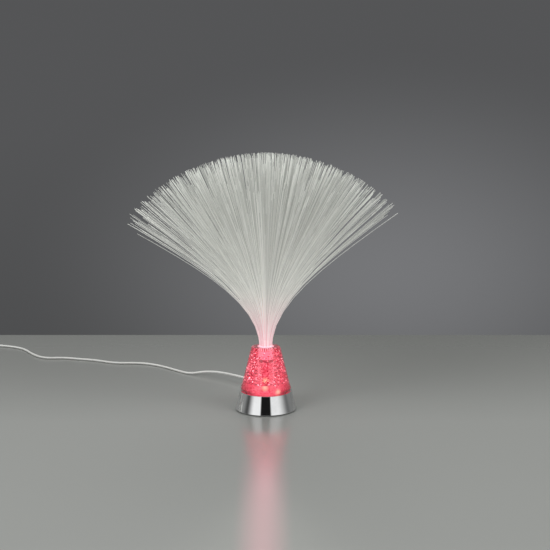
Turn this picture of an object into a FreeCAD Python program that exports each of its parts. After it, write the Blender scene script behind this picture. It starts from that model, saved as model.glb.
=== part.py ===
import FreeCAD, Part
import math
import os

from FreeCAD import Vector

# Table-top fibre optic lamp. A chromed base ring carries a clear acrylic cone that is lit from
# below, and a spray of plastic fibres stands in a collar on top of the cone. A thin low-voltage
# lead leaves the back of the base and runs through a rocker switch and a stored coil to a plug-in
# adaptor. Millimetres, +Z up, the lead leaves towards +Y, and the origin is on the table under the
# middle of the base.

# The whole lamp
OVERALL_HEIGHT = 330.0
BASE_DIAMETER = 80.0
BASE_TAPER = 0.2727  # radius that the base loses for each millimetre of height
FIT = 0.05  # radial running clearance of parts that turn or slide
EASE = 0.3  # clearance of parts that are only laid in place

# Chromed base shell
SHELL_EDGE = 1.0  # height of its lower edge over the table
SHELL_TOP = 24.5
SHELL_WALL = 1.8
SHELF_THICKNESS = 2.0
SHELF_OPENING = 23.0
LEAD_HEIGHT = 8.0
LEAD_NECK = 3.5

# Screws of the base, three for the cover and three for the acrylic
SCREW_CIRCLE = 27.5
COVER_SCREW_ANGLES = (30.0, 150.0, 270.0)
ACRYLIC_SCREW_ANGLES = (90.0, 210.0, 330.0)
SCREW_SHANK = 1.25
SCREW_HEAD = 2.7
BOSS_RADIUS = 3.5
BOSS_FOOT = 4.2

# Bottom cover and feet
COVER_BOTTOM = 1.4
COVER_TOP = 3.6
HEAD_SEAT = 2.7
FOOT_RADIUS = 4.3
FOOT_CIRCLE = 29.0
FOOT_TOP = 2.0

# Acrylic cone
ACRYLIC_TOP = 82.4
ACRYLIC_FOOT = 33.6  # radius where it stands on the shelf, before the edge is rounded
ACRYLIC_WAIST = (30.4, 34.5)  # radius and height where the flared foot meets the cone
ACRYLIC_SHOULDER = 18.4  # radius of the cone at its top, before the edge is rounded
RECESS_RADIUS = 15.0
RECESS_TOP = 36.5
LIGHT_BORE = 8.6
FERRULE_SEAT = 62.0
COLLAR_SEAT = 66.0
TOOTH_RELIEF = 77.0  # the well is wider above this height, round the collar's teeth
DISH_FLOOR = 80.5  # floor of the shallow dish that the collar's flange lies in

# Lighting set
FLANGE_BOTTOM = 20.5
FLANGE_TOP = 22.5
BOARD_TOP = 26.1
BOARD_RADIUS = 13.2
LED_CIRCLE = 7.0

# Collar, ferrule and fibre spray
SLEEVE_RADIUS = 9.95
COLLAR_BORE = 9.15
FLANGE_RADIUS = 10.6
FLANGE_LIFT = 0.1  # the collar stands on its sleeve, with its flange just clear of the dish
COLLAR_TOP = 83.1
TOOTH_COUNT = 24
FERRULE_RADIUS = 9.1
POT_RADIUS = 8.55
FIBRE_WIDTH = 0.75
FIBRE_COUNT = 156
ROOT_SPREAD = 8.0  # radius of the circle that the fibres fill where they leave the pot
FIBRE_TILT = 60.5  # lean that the outermost fibres end with, from upright, in degrees
TILT_BIAS = 2.0  # how much more they lean at the left, and how much less at the right
BEND_LENGTH = 55.0  # most of the bend is within this length of the root
GOLDEN_ANGLE = 137.50776
FIRST_ANGLE = 342.0  # turns the whole spray so that it reaches equally far each way

# Lead, coil and the parts on the lead
LEAD_RADIUS = 1.5
COIL_CENTRE = (-445.5, 205.0)
COIL_INNER = 12.0
COIL_OUTER = 21.0
COIL_BOTTOM = 0.6
COIL_TOP = 11.4
SWITCH_CENTRE = (-465.0, 271.0)
SWITCH_LENGTH = 46.0
SWITCH_WIDTH = 20.0
SWITCH_HEIGHT = 13.0
SWITCH_AXIS = 5.5  # height of the lead through the switch, where its shells part
SWITCH_WALL = 1.6
NOSE_LENGTH = 6.0
ROCKER_PIVOT = 9.6
ROCKER_LEAN = 10.0
TRUNNION_RADIUS = 1.2
ADAPTOR_CENTRE = (-464.0, 106.0)
ADAPTOR_LENGTH = 60.0
ADAPTOR_WIDTH = 38.0
ADAPTOR_HEIGHT = 28.0
ADAPTOR_WALL = 2.2
ADAPTOR_LEAD_HEIGHT = 7.0
PIN_SPACING = 19.0
PIN_RADIUS = 2.0
PIN_LENGTH = 19.0

# Routes of the lead between the pieces on it. The first two thirds follow the lead as it lies on
# the table; the rest leads into the coil and the adaptor.
ROUTE_TO_SWITCH = [
    (0, 54, 8),
    (0, 77, 8),
    (-10, 103, 7.8),
    (-33, 129, 7.6),
    (-60, 154, 7.4),
    (-85, 170, 5.6),
    (-109, 171, 1.5),
    (-128, 189, 1.5),
    (-147, 210, 1.5),
    (-168, 227, 1.5),
    (-189, 235, 1.5),
    (-223, 233, 1.5),
    (-252, 251, 1.5),
    (-278, 258, 1.5),
    (-304, 267, 1.5),
    (-331, 263, 1.5),
    (-352, 285, 1.5),
    (-372, 322, 1.5),
    (-392, 337, 1.5),
    (-420, 348, 1.5),
    (-446, 348, 1.5),
    (-465, 325, 5.5),
    (-465, 300, 5.5),
]
ROUTE_TO_COIL = [(-465, 242, 5.5), (-465, 231, 5.5), (-464.4, 218, 9.3), (-463.5, 205, 9.9)]
ROUTE_TO_ADAPTOR = [(-465, 205, 2.1), (-465.4, 187, 1.7), (-464, 168, 7), (-464, 150, 7)]

ORIGIN = Vector(0, 0, 0)
UP = Vector(0, 0, 1)
TINY = 1e-6
ROUND_FROM = 1.5  # corners with a smaller radius than this are bevelled instead, to keep faces few


def cone_radius(height):
    """Outer radius of the conical base at a height."""
    return BASE_DIAMETER / 2 - BASE_TAPER * height


def polar(radius, degrees, height):
    angle = math.radians(degrees)
    return Vector(radius * math.cos(angle), radius * math.sin(angle), height)


def corner_arc(before, corner, after, radius):
    """Start, middle and end of the arc that rounds one corner of a path."""
    back = (before - corner).normalize()
    ahead = (after - corner).normalize()
    half_opening = back.getAngle(ahead) / 2
    setback = radius / math.tan(half_opening)
    inward = (back + ahead).normalize()
    centre = corner + inward * (radius / math.sin(half_opening))
    return corner + back * setback, centre - inward * radius, corner + ahead * setback


def path(points, radii, closed=False):
    """A wire of straight runs joined by tangent arcs. A small radius bevels the corner, and 0 keeps it sharp."""
    count = len(points)
    turns = []
    for index, radius in enumerate(radii):
        corner = points[index]
        turn = (corner, None, corner)
        if radius > 0:
            turn = corner_arc(points[index - 1], corner, points[(index + 1) % count], radius)
        turns.append(turn)
    edges = []
    for index, (start, middle, end) in enumerate(turns):
        if middle is not None and radii[index] < ROUND_FROM:
            edges.append(Part.LineSegment(start, end).toShape())
        elif middle is not None:
            edges.append(Part.Arc(start, middle, end).toShape())
        if index < count - 1 or closed:
            following = turns[(index + 1) % count][0]
            if end.distanceToPoint(following) > TINY:
                edges.append(Part.LineSegment(end, following).toShape())
    return Part.Wire(edges)


def revolved(outline, start=0.0, sweep=360.0):
    """A turned solid from (radius, height, corner radius) points, or a sector of one."""
    points = [Vector(radius, 0, height) for radius, height, _ in outline]
    face = Part.Face(path(points, [corner for _, _, corner in outline], closed=True))
    solid = face.revolve(ORIGIN, UP, sweep)
    solid.rotate(ORIGIN, UP, start)
    return solid


def turned_along_y(outline, foot):
    """A turned solid whose heights run along +Y from the point foot."""
    solid = revolved(outline)
    solid.rotate(ORIGIN, Vector(1, 0, 0), -90)
    solid.translate(foot)
    return solid


def rod(radius, bottom, top, x=0.0, y=0.0):
    return Part.makeCylinder(radius, top - bottom, Vector(x, y, bottom))


def rods(radius, bottom, top, circle, angles):
    """Upright cylinders spaced round a circle, as one list."""
    places = [polar(circle, angle, 0) for angle in angles]
    return [rod(radius, bottom, top, place.x, place.y) for place in places]


def block(width, length, bottom, top, x=0.0, y=0.0):
    """An upright box centred on x, y."""
    corner = Vector(x - width / 2, y - length / 2, bottom)
    return Part.makeBox(width, length, top - bottom, corner)


def slab(width, length, bottom, top, corner):
    """An upright prism on a rounded rectangle about the Z axis."""
    x, y = width / 2, length / 2
    points = [Vector(x, y, bottom), Vector(-x, y, bottom), Vector(-x, -y, bottom), Vector(x, -y, bottom)]
    outline = path(points, [corner] * 4, closed=True)
    return Part.Face(outline).extrude(UP * (top - bottom))


def soften(shape, height, size):
    """Bevel the edges that lie flat at one height."""
    flat = [e for e in shape.Edges if abs(e.BoundBox.ZMin - height) < TINY and e.BoundBox.ZLength < TINY]
    return shape.makeChamfer(size, flat)


def cone_core(inset, bottom, top):
    """The base's cone, taken in by inset all round, between two heights."""
    base = Vector(0, 0, bottom)
    return Part.makeCone(cone_radius(bottom) - inset, cone_radius(top) - inset, top - bottom, base)


def screw(head, head_bottom, head_top, tip, x, y):
    """A pan-head screw with its head below, its recess cut, and a plain shank of thread size."""
    outline = [
        (0, head_bottom, 0),
        (head, head_bottom, 0.5),
        (head, head_top, 0),
        (SCREW_SHANK, head_top, 0),
        (SCREW_SHANK, tip - 1, 0),
        (0, tip, 0),
    ]
    solid = revolved(outline)
    for width, length in ((0.5, head), (head, 0.5)):
        solid = solid.cut(block(width, length, head_bottom - 1, head_bottom + 0.7))
    solid.translate(Vector(x, y, 0))
    return solid


def base_shell():
    """Chromed ring: a conical wall and a top shelf, with bosses and gussets for the cover."""
    shelf = SHELL_TOP - SHELF_THICKNESS
    outline = [
        (cone_radius(SHELL_EDGE) - SHELL_WALL, SHELL_EDGE, 0),
        (cone_radius(SHELL_EDGE), SHELL_EDGE, 0.5),
        (cone_radius(SHELL_TOP), SHELL_TOP, 0.8),
        (SHELF_OPENING, SHELL_TOP, 0.3),
        (SHELF_OPENING, shelf, 0),
        (cone_radius(shelf) - SHELL_WALL, shelf, 1.0),
    ]
    shell = revolved(outline)
    for angle in COVER_SCREW_ANGLES:
        place = polar(SCREW_CIRCLE, angle, 0)
        boss = rod(BOSS_RADIUS, BOSS_FOOT, SHELL_TOP - 1, place.x, place.y)
        gusset = block(10, 1.4, 13, SHELL_TOP - 1, SCREW_CIRCLE + 5, 0)
        gusset.rotate(ORIGIN, UP, angle)
        gusset = gusset.common(cone_core(SHELL_WALL / 2, 13, SHELL_TOP - 1))
        pilot = rod(SCREW_SHANK + FIT, BOSS_FOOT, 15, place.x, place.y)
        shell = shell.fuse([boss, gusset]).cut(pilot)
    holes = rods(SCREW_SHANK + EASE, shelf - 1, SHELL_TOP + 1, SCREW_CIRCLE, ACRYLIC_SCREW_ANGLES)
    lead_hole = Part.makeCylinder(LEAD_NECK + 0.1, 12, Vector(0, 30, LEAD_HEIGHT), Vector(0, 1, 0))
    return shell.cut(holes + [lead_hole]).removeSplitter()


def bottom_cover():
    """Moulded plate with a locating rim, screw pads, foot recesses and a saddle for the lead."""
    gap = SHELL_WALL + EASE
    plate = cone_core(gap, COVER_BOTTOM, COVER_TOP)
    rim = rod(36.0, COVER_TOP, 5.6).cut(rod(34.8, COVER_TOP, 5.6))
    rim = rim.cut(block(14, 10, COVER_TOP, 6, 0, 36))
    pads = rods(4.5, COVER_TOP - 0.5, BOSS_FOOT, SCREW_CIRCLE, COVER_SCREW_ANGLES)
    saddle = block(18, 5, COVER_TOP - 0.5, LEAD_HEIGHT, 0, 26)
    groove = Part.makeCylinder(LEAD_RADIUS + FIT, 8, Vector(0, 22, LEAD_HEIGHT), Vector(0, 1, 0))
    cuts = rods(SCREW_HEAD + EASE, 0, HEAD_SEAT, SCREW_CIRCLE, COVER_SCREW_ANGLES)
    cuts += rods(SCREW_SHANK + EASE, 0, BOSS_FOOT + 1, SCREW_CIRCLE, COVER_SCREW_ANGLES)
    cuts += rods(FOOT_RADIUS + 0.2, 0, FOOT_TOP, FOOT_CIRCLE, ACRYLIC_SCREW_ANGLES)
    cuts += [rod(1.0, COVER_TOP + 0.6, LEAD_HEIGHT, side * 6, 26) for side in (-1, 1)]
    return plate.fuse([rim, saddle] + pads).cut(cuts + [groove]).removeSplitter()


def rubber_feet():
    """Three stick-on feet sunk in the cover's recesses."""
    foot = [(0, 0, 0), (FOOT_RADIUS, 0, 0.7), (FOOT_RADIUS, FOOT_TOP, 0), (0, FOOT_TOP, 0)]
    feet = []
    for angle in ACRYLIC_SCREW_ANGLES:
        solid = revolved(foot)
        solid.translate(polar(FOOT_CIRCLE, angle, 0))
        feet.append(solid)
    return Part.makeCompound(feet)


def cover_screws():
    places = [polar(SCREW_CIRCLE, angle, 0) for angle in COVER_SCREW_ANGLES]
    return Part.makeCompound([screw(SCREW_HEAD, COVER_BOTTOM, HEAD_SEAT, 12, p.x, p.y) for p in places])


def acrylic_screws():
    """Screws that clamp the carrier, the shelf and the acrylic together from inside the base."""
    places = [polar(SCREW_CIRCLE, angle, 0) for angle in ACRYLIC_SCREW_ANGLES]
    head = FLANGE_BOTTOM - 1.5
    return Part.makeCompound([screw(SCREW_HEAD, head, FLANGE_BOTTOM, 30, p.x, p.y) for p in places])


def acrylic_cone():
    """Cast cone with a flared foot, a rounded shoulder, a dished top and a stepped well down its middle."""
    outline = [
        (RECESS_RADIUS, SHELL_TOP, 0),
        (ACRYLIC_FOOT, SHELL_TOP, 3.2),
        (*ACRYLIC_WAIST, 10.0),
        (ACRYLIC_SHOULDER, ACRYLIC_TOP, 3.5),
        (FLANGE_RADIUS + 0.6, ACRYLIC_TOP, 0.3),
        (FLANGE_RADIUS + 0.6, DISH_FLOOR, 0),
        (SLEEVE_RADIUS + 0.65, DISH_FLOOR, 0),
        (SLEEVE_RADIUS + 0.65, TOOTH_RELIEF, 0),
        (SLEEVE_RADIUS + FIT, TOOTH_RELIEF, 0),
        (SLEEVE_RADIUS + FIT, COLLAR_SEAT, 0),
        (FERRULE_RADIUS + 0.1, COLLAR_SEAT, 0),
        (FERRULE_RADIUS + 0.1, FERRULE_SEAT, 0),
        (LIGHT_BORE, FERRULE_SEAT, 0),
        (LIGHT_BORE, RECESS_TOP, 2.0),
        (RECESS_RADIUS, RECESS_TOP, 1.2),
    ]
    pilots = rods(SCREW_SHANK + FIT, SHELL_TOP - 1, 31, SCREW_CIRCLE, ACRYLIC_SCREW_ANGLES)
    return revolved(outline).cut(pilots)


def led_carrier():
    """White moulding: a flange under the shelf, a spigot through it and snap hooks for the board."""
    outline = [
        (4.5, FLANGE_BOTTOM, 0),
        (31.4, FLANGE_BOTTOM, 0.4),
        (31.4, FLANGE_TOP, 0),
        (SHELF_OPENING - 0.2, FLANGE_TOP, 0),
        (SHELF_OPENING - 0.2, SHELL_TOP, 0),
        (4.5, SHELL_TOP, 0),
    ]
    hook = [
        (BOARD_RADIUS + 0.15, SHELL_TOP - 1, 0),
        (14.5, SHELL_TOP - 1, 0),
        (14.5, BOARD_TOP + 1.4, 0.6),
        (BOARD_RADIUS - 0.5, BOARD_TOP + 0.1, 0),
        (BOARD_RADIUS + 0.15, BOARD_TOP + 0.1, 0),
    ]
    stiffener = rod(18.5, 17.5, FLANGE_TOP - 1).cut(rod(17.0, 17.5, FLANGE_TOP - 1))
    hooks = [revolved(hook, angle - 11, 22) for angle in COVER_SCREW_ANGLES]
    carrier = revolved(outline).fuse(hooks + [stiffener])
    cuts = rods(SCREW_SHANK + EASE, 18, 24, SCREW_CIRCLE, ACRYLIC_SCREW_ANGLES)
    for angle in COVER_SCREW_ANGLES:
        slot = rod(BOSS_RADIUS + 0.5, 18, FLANGE_TOP, SCREW_CIRCLE, 0)
        slot = slot.fuse(block(10, 2 * BOSS_RADIUS + 1, 18, FLANGE_TOP, SCREW_CIRCLE + 5, 0))
        slot.rotate(ORIGIN, UP, angle)
        cuts.append(slot)
    return carrier.cut(cuts).removeSplitter()


def circuit_board():
    """Round board with one flat, held by the hooks."""
    board = rod(BOARD_RADIUS, SHELL_TOP, BOARD_TOP)
    return board.cut(block(30, 4, SHELL_TOP - 1, BOARD_TOP + 1, 0, -14.4))


def leds():
    """Three domed light-emitting diodes standing on the board."""
    outline = [
        (0, BOARD_TOP, 0),
        (2.9, BOARD_TOP, 0),
        (2.9, BOARD_TOP + 1, 0),
        (2.5, BOARD_TOP + 1, 0),
        (2.5, 34.7, 2.5),
        (0, 34.7, 0),
    ]
    lamps = []
    for angle in ACRYLIC_SCREW_ANGLES:
        lamp = revolved(outline)
        lamp.translate(polar(LED_CIRCLE, angle, 0))
        lamps.append(lamp)
    return Part.makeCompound(lamps)


def resistors():
    """Small axial resistors lying on the board between the diodes."""
    outline = [(0, 0, 0), (0.9, 0, 0.3), (0.9, 1, 0), (0.75, 1.3, 0), (0.75, 2.7, 0), (0.9, 3, 0), (0.9, 4, 0.3), (0, 4, 0)]
    bodies = []
    for angle in COVER_SCREW_ANGLES:
        body = turned_along_y(outline, Vector(9.3, -2, BOARD_TOP + 0.9))
        body.rotate(ORIGIN, UP, angle)
        bodies.append(body)
    return Part.makeCompound(bodies)


def lead_radii(points, share=0.45):
    """The largest arc that each corner's two runs leave room for."""
    radii = [0.0]
    for before, corner, after in zip(points, points[1:], points[2:]):
        turn = (corner - before).getAngle(after - corner)
        shorter = min((corner - before).Length, (after - corner).Length)
        radii.append(share * shorter / math.tan(turn / 2))
    return radii + [0.0]


def tube(route, radius):
    """A round tube along straight runs joined by tangent arcs."""
    points = [Vector(*point) for point in route]
    radii = lead_radii(points)
    centre_line = path(points, radii)
    circle = Part.Circle(points[0], points[1] - points[0], radius).toShape()
    solid = centre_line.makePipeShell([Part.Wire([circle])], True, False)
    ratio = solid.Volume / (math.pi * radius**2 * centre_line.Length)
    tightest = min(radii[1:-1])
    print(f"tube of {centre_line.Length:.0f} mm, tightest arc {tightest:.1f} mm, volume ratio {ratio:.4f}")
    return solid


def inner_lead():
    """The last of the lead's sheath, from the strain relief through the clamp."""
    return Part.makeCylinder(LEAD_RADIUS, 10.7, Vector(0, 21.5, LEAD_HEIGHT), Vector(0, 1, 0))


def supply_wires():
    """Two thin cores from the end of the sheath up to the board."""
    wires = []
    for side in (-1, 1):
        route = [(side * 0.7, 21.5, LEAD_HEIGHT), (side * 0.7, 9, 8), (side * 1.4, 1.5, 14), (side * 1.4, 1.5, SHELL_TOP)]
        wires.append(tube(route, 0.6))
    return Part.makeCompound(wires)


def cord_clamp():
    """Bar that presses the sheath into the saddle."""
    bar = block(17, 4.2, LEAD_HEIGHT + EASE, 11.2, 0, 26)
    holes = [rod(1.2, LEAD_HEIGHT, 12, side * 6, 26) for side in (-1, 1)]
    groove = Part.makeCylinder(LEAD_RADIUS + FIT, 8, Vector(0, 22, LEAD_HEIGHT), Vector(0, 1, 0))
    return bar.cut(holes + [groove])


def clamp_screws():
    screws = []
    for side in (-1, 1):
        head = rod(2.0, 11.2, 12.4, side * 6, 26).cut(block(0.6, 5, 11.8, 13, side * 6, 26))
        screws.append(head.fuse(rod(0.95, 5, 11.2, side * 6, 26)))
    return Part.makeCompound(screws)


def strain_relief():
    """Soft sleeve snapped into the shell's hole: inner flange, neck, shoulder and ribbed taper."""
    outline = [
        (0, 32.2, 0),
        (4.2, 32.2, 0.3),
        (4.2, 34.6, 0),
        (LEAD_NECK, 34.6, 0),
        (LEAD_NECK, 36.5, 0),
        (4.8, 36.5, 0),
        (4.8, 41.5, 0.8),
        (3.2, 42.0, 0),
    ]
    for ring in range(4):
        back = 43.0 + 2.6 * ring
        size = 3.2 - 0.22 * ring
        outline += [(size, back, 0), (size - 0.5, back + 0.4, 0), (size - 0.5, back + 1.0, 0)]
        outline += [(size - 0.1, back + 1.4, 0)]
    outline += [(2.3, 54.0, 0.4), (0, 54.0, 0)]
    sleeve = turned_along_y(outline, Vector(0, 0, LEAD_HEIGHT))
    shoulder = turned_along_y([(LEAD_NECK, 34, 0), (6, 34, 0), (6, 41, 0), (LEAD_NECK, 41, 0)], Vector(0, 0, LEAD_HEIGHT))
    keep_off = cone_core(-0.1, 1, 20).common(shoulder)
    keep_off = keep_off.cut(turned_along_y([(0, 30, 0), (4.3, 30, 0), (4.3, 34.6, 0), (0, 34.6, 0)], Vector(0, 0, LEAD_HEIGHT)))
    return sleeve.cut(keep_off)


def fibre_collar():
    """Sleeve with a rounded flange and small grip teeth, which turns in the acrylic's well."""
    flange_bottom = DISH_FLOOR + FLANGE_LIFT
    outline = [
        (COLLAR_BORE, COLLAR_SEAT, 0),
        (SLEEVE_RADIUS, COLLAR_SEAT, 0.3),
        (SLEEVE_RADIUS, flange_bottom, 0),
        (FLANGE_RADIUS, flange_bottom, 0.4),
        (FLANGE_RADIUS, COLLAR_TOP, 1.0),
        (COLLAR_BORE, COLLAR_TOP, 0.4),
    ]
    collar = revolved(outline)
    tooth_bottom = TOOTH_RELIEF + 0.3
    teeth = []
    for index in range(TOOTH_COUNT):
        tooth = block(0.9, 1.2, tooth_bottom, flange_bottom + 0.5, SLEEVE_RADIUS + 0.02, 0)
        tooth.rotate(ORIGIN, UP, index * 360 / TOOTH_COUNT)
        teeth.append(tooth)
    return collar.fuse(teeth).removeSplitter()


def fibre_ferrule():
    """Metal tube crimped round the bundle, which seats on the ledge in the acrylic's well."""
    outline = [
        (POT_RADIUS + FIT, FERRULE_SEAT, 0),
        (FERRULE_RADIUS, FERRULE_SEAT, 0.2),
        (FERRULE_RADIUS, COLLAR_TOP - 0.5, 0.2),
        (POT_RADIUS + FIT, COLLAR_TOP - 0.5, 0),
    ]
    return revolved(outline)


def fibre_root():
    """The bundle's potted end, polished flat below so that it takes in the light."""
    return rod(POT_RADIUS, FERRULE_SEAT, COLLAR_TOP)


def fibre(index):
    """One fibre: a ribbon outline in its own upright plane, bent as its weight bends it."""
    share = math.sqrt((index + 0.5) / FIBRE_COUNT)
    angle = FIRST_ANGLE + index * GOLDEN_ANGLE
    stray = math.sin(index * 2.4) * math.cos(index * 0.7)
    tilt = (FIBRE_TILT - TILT_BIAS * math.cos(math.radians(angle))) * share + 1.2 * share * stray
    whole = OVERALL_HEIGHT - COLLAR_TOP
    length = whole - 7.0 * share * abs(math.sin(index * 1.9))
    segments = 3 + round(3 * share)
    steps = 8
    x, z = ROOT_SPREAD * share, COLLAR_TOP
    middle = [(x, z)]
    done = 0.0
    for segment in range(1, segments + 1):
        reach = length * (segment / segments) ** 1.5
        piece = (reach - done) / steps
        for step in range(steps):
            lean = math.radians(tilt) * (1 - math.exp(-(done + piece / 2) / BEND_LENGTH))
            x += piece * math.sin(lean)
            z += piece * math.cos(lean)
            done += piece
        middle.append((x, z))
    leans = [math.atan2(b[0] - a[0], b[1] - a[1]) for a, b in zip(middle, middle[1:])]
    left, right = [], []
    for (x, z), before, after in zip(middle, leans[:1] + leans, leans + leans[-1:]):
        first = (x, z) == middle[0]
        across = 0.0 if first else (before + after) / 2
        half = FIBRE_WIDTH / 2 / (math.cos(before) if first else math.cos((after - before) / 2))
        left.append(Vector(x - half * math.cos(across), -FIBRE_WIDTH / 2, z + half * math.sin(across)))
        right.append(Vector(x + half * math.cos(across), -FIBRE_WIDTH / 2, z - half * math.sin(across)))
    outline = Part.makePolygon(left + right[::-1] + left[:1])
    solid = Part.Face(outline).extrude(Vector(0, FIBRE_WIDTH, 0))
    solid.rotate(ORIGIN, UP, angle)
    return solid


def fibres(first, last):
    return Part.makeCompound([fibre(index) for index in range(first, last)])


def switch_body():
    """The in-line switch's outside: a rounded capsule with a tapered nose at each end."""
    capsule = slab(SWITCH_WIDTH, SWITCH_LENGTH, 0, SWITCH_HEIGHT, 7.0)
    capsule = soften(soften(capsule, SWITCH_HEIGHT, 2.0), 0, 1.2)
    end = SWITCH_LENGTH / 2
    nose = [(0, end - 3, 0), (4.4, end - 3, 0), (4.4, end, 0), (2.4, end + NOSE_LENGTH, 0.5), (0, end + NOSE_LENGTH, 0)]
    ahead = turned_along_y(nose, Vector(0, 0, SWITCH_AXIS))
    behind = ahead.copy()
    behind.rotate(ORIGIN, UP, 180)
    opening = block(11.2, 21.2, 8, SWITCH_HEIGHT + 1)
    cavity = slab(
        SWITCH_WIDTH - 2 * SWITCH_WALL, SWITCH_LENGTH - 2 * SWITCH_WALL, SWITCH_WALL, SWITCH_HEIGHT - SWITCH_WALL, 5.4
    )
    return capsule.fuse([ahead, behind]).cut([cavity, opening])


def to_switch(shape):
    shape.translate(Vector(*SWITCH_CENTRE, 0))
    return shape


SWITCH_SCREW_Y = (-17.0, 17.0)


def switch_lower_shell():
    lower = switch_body().common(block(60, 80, 0, SWITCH_AXIS))
    posts = [rod(2.6, SWITCH_WALL - 0.5, SWITCH_AXIS, 0, y) for y in SWITCH_SCREW_Y]
    lower = lower.fuse(posts)
    cuts = [rod(1.0, 0, SWITCH_AXIS, 0, y) for y in SWITCH_SCREW_Y]
    cuts += [rod(2.3, 0, 1.5, 0, y) for y in SWITCH_SCREW_Y]
    return to_switch(lower.cut(cuts).removeSplitter())


def switch_upper_shell():
    """Upper shell with the rocker's opening and the two ears that its trunnions turn in."""
    upper = switch_body().common(block(60, 80, SWITCH_AXIS, SWITCH_HEIGHT))
    under = SWITCH_HEIGHT - SWITCH_WALL
    posts = [rod(2.6, SWITCH_AXIS, under + 0.5, 0, y) for y in SWITCH_SCREW_Y]
    ears = [block(2.9, 6, 7.2, under + 0.5, side * 7.25, 0) for side in (-1, 1)]
    upper = upper.fuse(posts + ears)
    cuts = [rod(0.9, SWITCH_AXIS, 10.5, 0, y) for y in SWITCH_SCREW_Y]
    cuts.append(Part.makeCylinder(TRUNNION_RADIUS + FIT, 15.2, Vector(-7.6, 0, ROCKER_PIVOT), Vector(1, 0, 0)))
    return to_switch(upper.cut(cuts).removeSplitter())


def switch_rocker():
    """Two-winged rocker on trunnions, pressed down at its far wing."""
    end, top, under = 9.4, 12.5, 8.7
    rise = end * math.tan(math.radians(ROCKER_LEAN))
    side_view = [(0, top, 1.5), (end, top + rise, 0.7), (end, under, 0.5), (1.4, under - 0.4, 0), (1.4, 6.5, 0.6)]
    side_view += [(-y, z, corner) for y, z, corner in side_view[:0:-1]]
    points = [Vector(-5.3, y, z) for y, z, _ in side_view]
    face = Part.Face(path(points, [corner for _, _, corner in side_view], closed=True))
    rocker = face.extrude(Vector(10.6, 0, 0))
    trunnion = Part.makeCylinder(TRUNNION_RADIUS, 14.8, Vector(-7.4, 0, ROCKER_PIVOT), Vector(1, 0, 0))
    rocker = rocker.fuse(trunnion)
    rocker.rotate(Vector(0, 0, ROCKER_PIVOT), Vector(1, 0, 0), -ROCKER_LEAN)
    return to_switch(rocker)


def switch_contacts():
    """Two brass terminals with clamping tabs, and the sprung bridge that the rocker tips."""
    terminals = []
    for side in (-1, 1):
        plate = block(5, 7, SWITCH_WALL, 2.3, 0, side * 9.5)
        tab = block(5, 0.8, 2.0, 4.6, 0, side * 12.6)
        terminals.append(plate.fuse(tab).removeSplitter())
    bridge = block(3.4, 11.4, 2.4, 3.0).fuse(block(3.4, 0.7, 2.4, 5.4)).removeSplitter()
    bridge.translate(Vector(0, 0, 0.1))
    return to_switch(Part.makeCompound(terminals + [bridge]))


def switch_screws():
    screws = []
    for y in SWITCH_SCREW_Y:
        head = rod(2.1, 0.4, 1.5, 0, y).cut(block(0.6, 5, 0, 1.0, 0, y))
        screws.append(head.fuse(rod(0.85, 1.5, 9.5, 0, y)))
    return to_switch(Part.makeCompound(screws))


def cord_coil():
    """The stored length of lead, as the ring that its turns fill."""
    outline = [
        (COIL_INNER, COIL_BOTTOM, 1.3),
        (COIL_OUTER, COIL_BOTTOM, 1.3),
        (COIL_OUTER, COIL_TOP, 1.3),
        (COIL_INNER, COIL_TOP, 1.3),
    ]
    ring = revolved(outline)
    ring.translate(Vector(*COIL_CENTRE, 0))
    return ring


def cord_tie():
    """Twist tie: a flat strip round the coil's section, with its twisted ends outside."""
    middle = (COIL_INNER + COIL_OUTER) / 2
    half = (COIL_OUTER - COIL_INNER) / 2
    band = slab(2 * half + 1.4, 4.0, 0, COIL_TOP + COIL_BOTTOM, 0.5)
    hole = slab(2 * half + 0.4, 6.0, COIL_BOTTOM - 0.1, COIL_TOP + 0.1, 0.1)
    twist = Part.makeCylinder(0.9, 7, Vector(half + 0.4, 0, 8.4), Vector(1, 0, 0.25))
    tie = band.cut(hole).fuse(twist).removeSplitter()
    tie.translate(Vector(COIL_CENTRE[0] + middle, COIL_CENTRE[1], 0))
    return tie


def adaptor_body():
    """The adaptor's outside and its cavity, lying on its front with the pins up."""
    outer = slab(ADAPTOR_WIDTH, ADAPTOR_LENGTH, 0, ADAPTOR_HEIGHT, 6.0)
    outer = soften(soften(outer, ADAPTOR_HEIGHT, 1.5), 0, 2.5)
    wall = 2 * ADAPTOR_WALL
    cavity = slab(ADAPTOR_WIDTH - wall, ADAPTOR_LENGTH - wall, ADAPTOR_WALL, ADAPTOR_HEIGHT - ADAPTOR_WALL, 4.0)
    return outer.cut(cavity)


def to_adaptor(shape):
    shape.translate(Vector(*ADAPTOR_CENTRE, 0))
    return shape


PARTING = ADAPTOR_HEIGHT / 2


def adaptor_front_shell():
    front = adaptor_body().common(block(60, 80, 0, PARTING))
    hole = Part.makeCylinder(2.9, 6, Vector(0, 26, ADAPTOR_LEAD_HEIGHT), Vector(0, 1, 0))
    return to_adaptor(front.cut(hole))


def adaptor_back_shell():
    """Back shell with the raised pad that the pins stand on."""
    back = adaptor_body().common(block(60, 80, PARTING, ADAPTOR_HEIGHT))
    lip = slab(ADAPTOR_WIDTH - 4.8, ADAPTOR_LENGTH - 4.8, PARTING - 1.2, PARTING + 1.5, 3.6)
    lip = lip.fuse(slab(ADAPTOR_WIDTH - 4, ADAPTOR_LENGTH - 4, PARTING, PARTING + 1.5, 4.0))
    lip = lip.cut(slab(ADAPTOR_WIDTH - 7, ADAPTOR_LENGTH - 7, PARTING - 2, PARTING + 2, 2.6))
    stems = [rod(1.45, PARTING, ADAPTOR_HEIGHT + 1, side * PIN_SPACING / 2, -12) for side in (-1, 1)]
    bosses = [rod(3.2, 21, ADAPTOR_HEIGHT - 1, side * PIN_SPACING / 2, -12) for side in (-1, 1)]
    return to_adaptor(back.fuse([lip] + bosses).cut(stems).removeSplitter())


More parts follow.
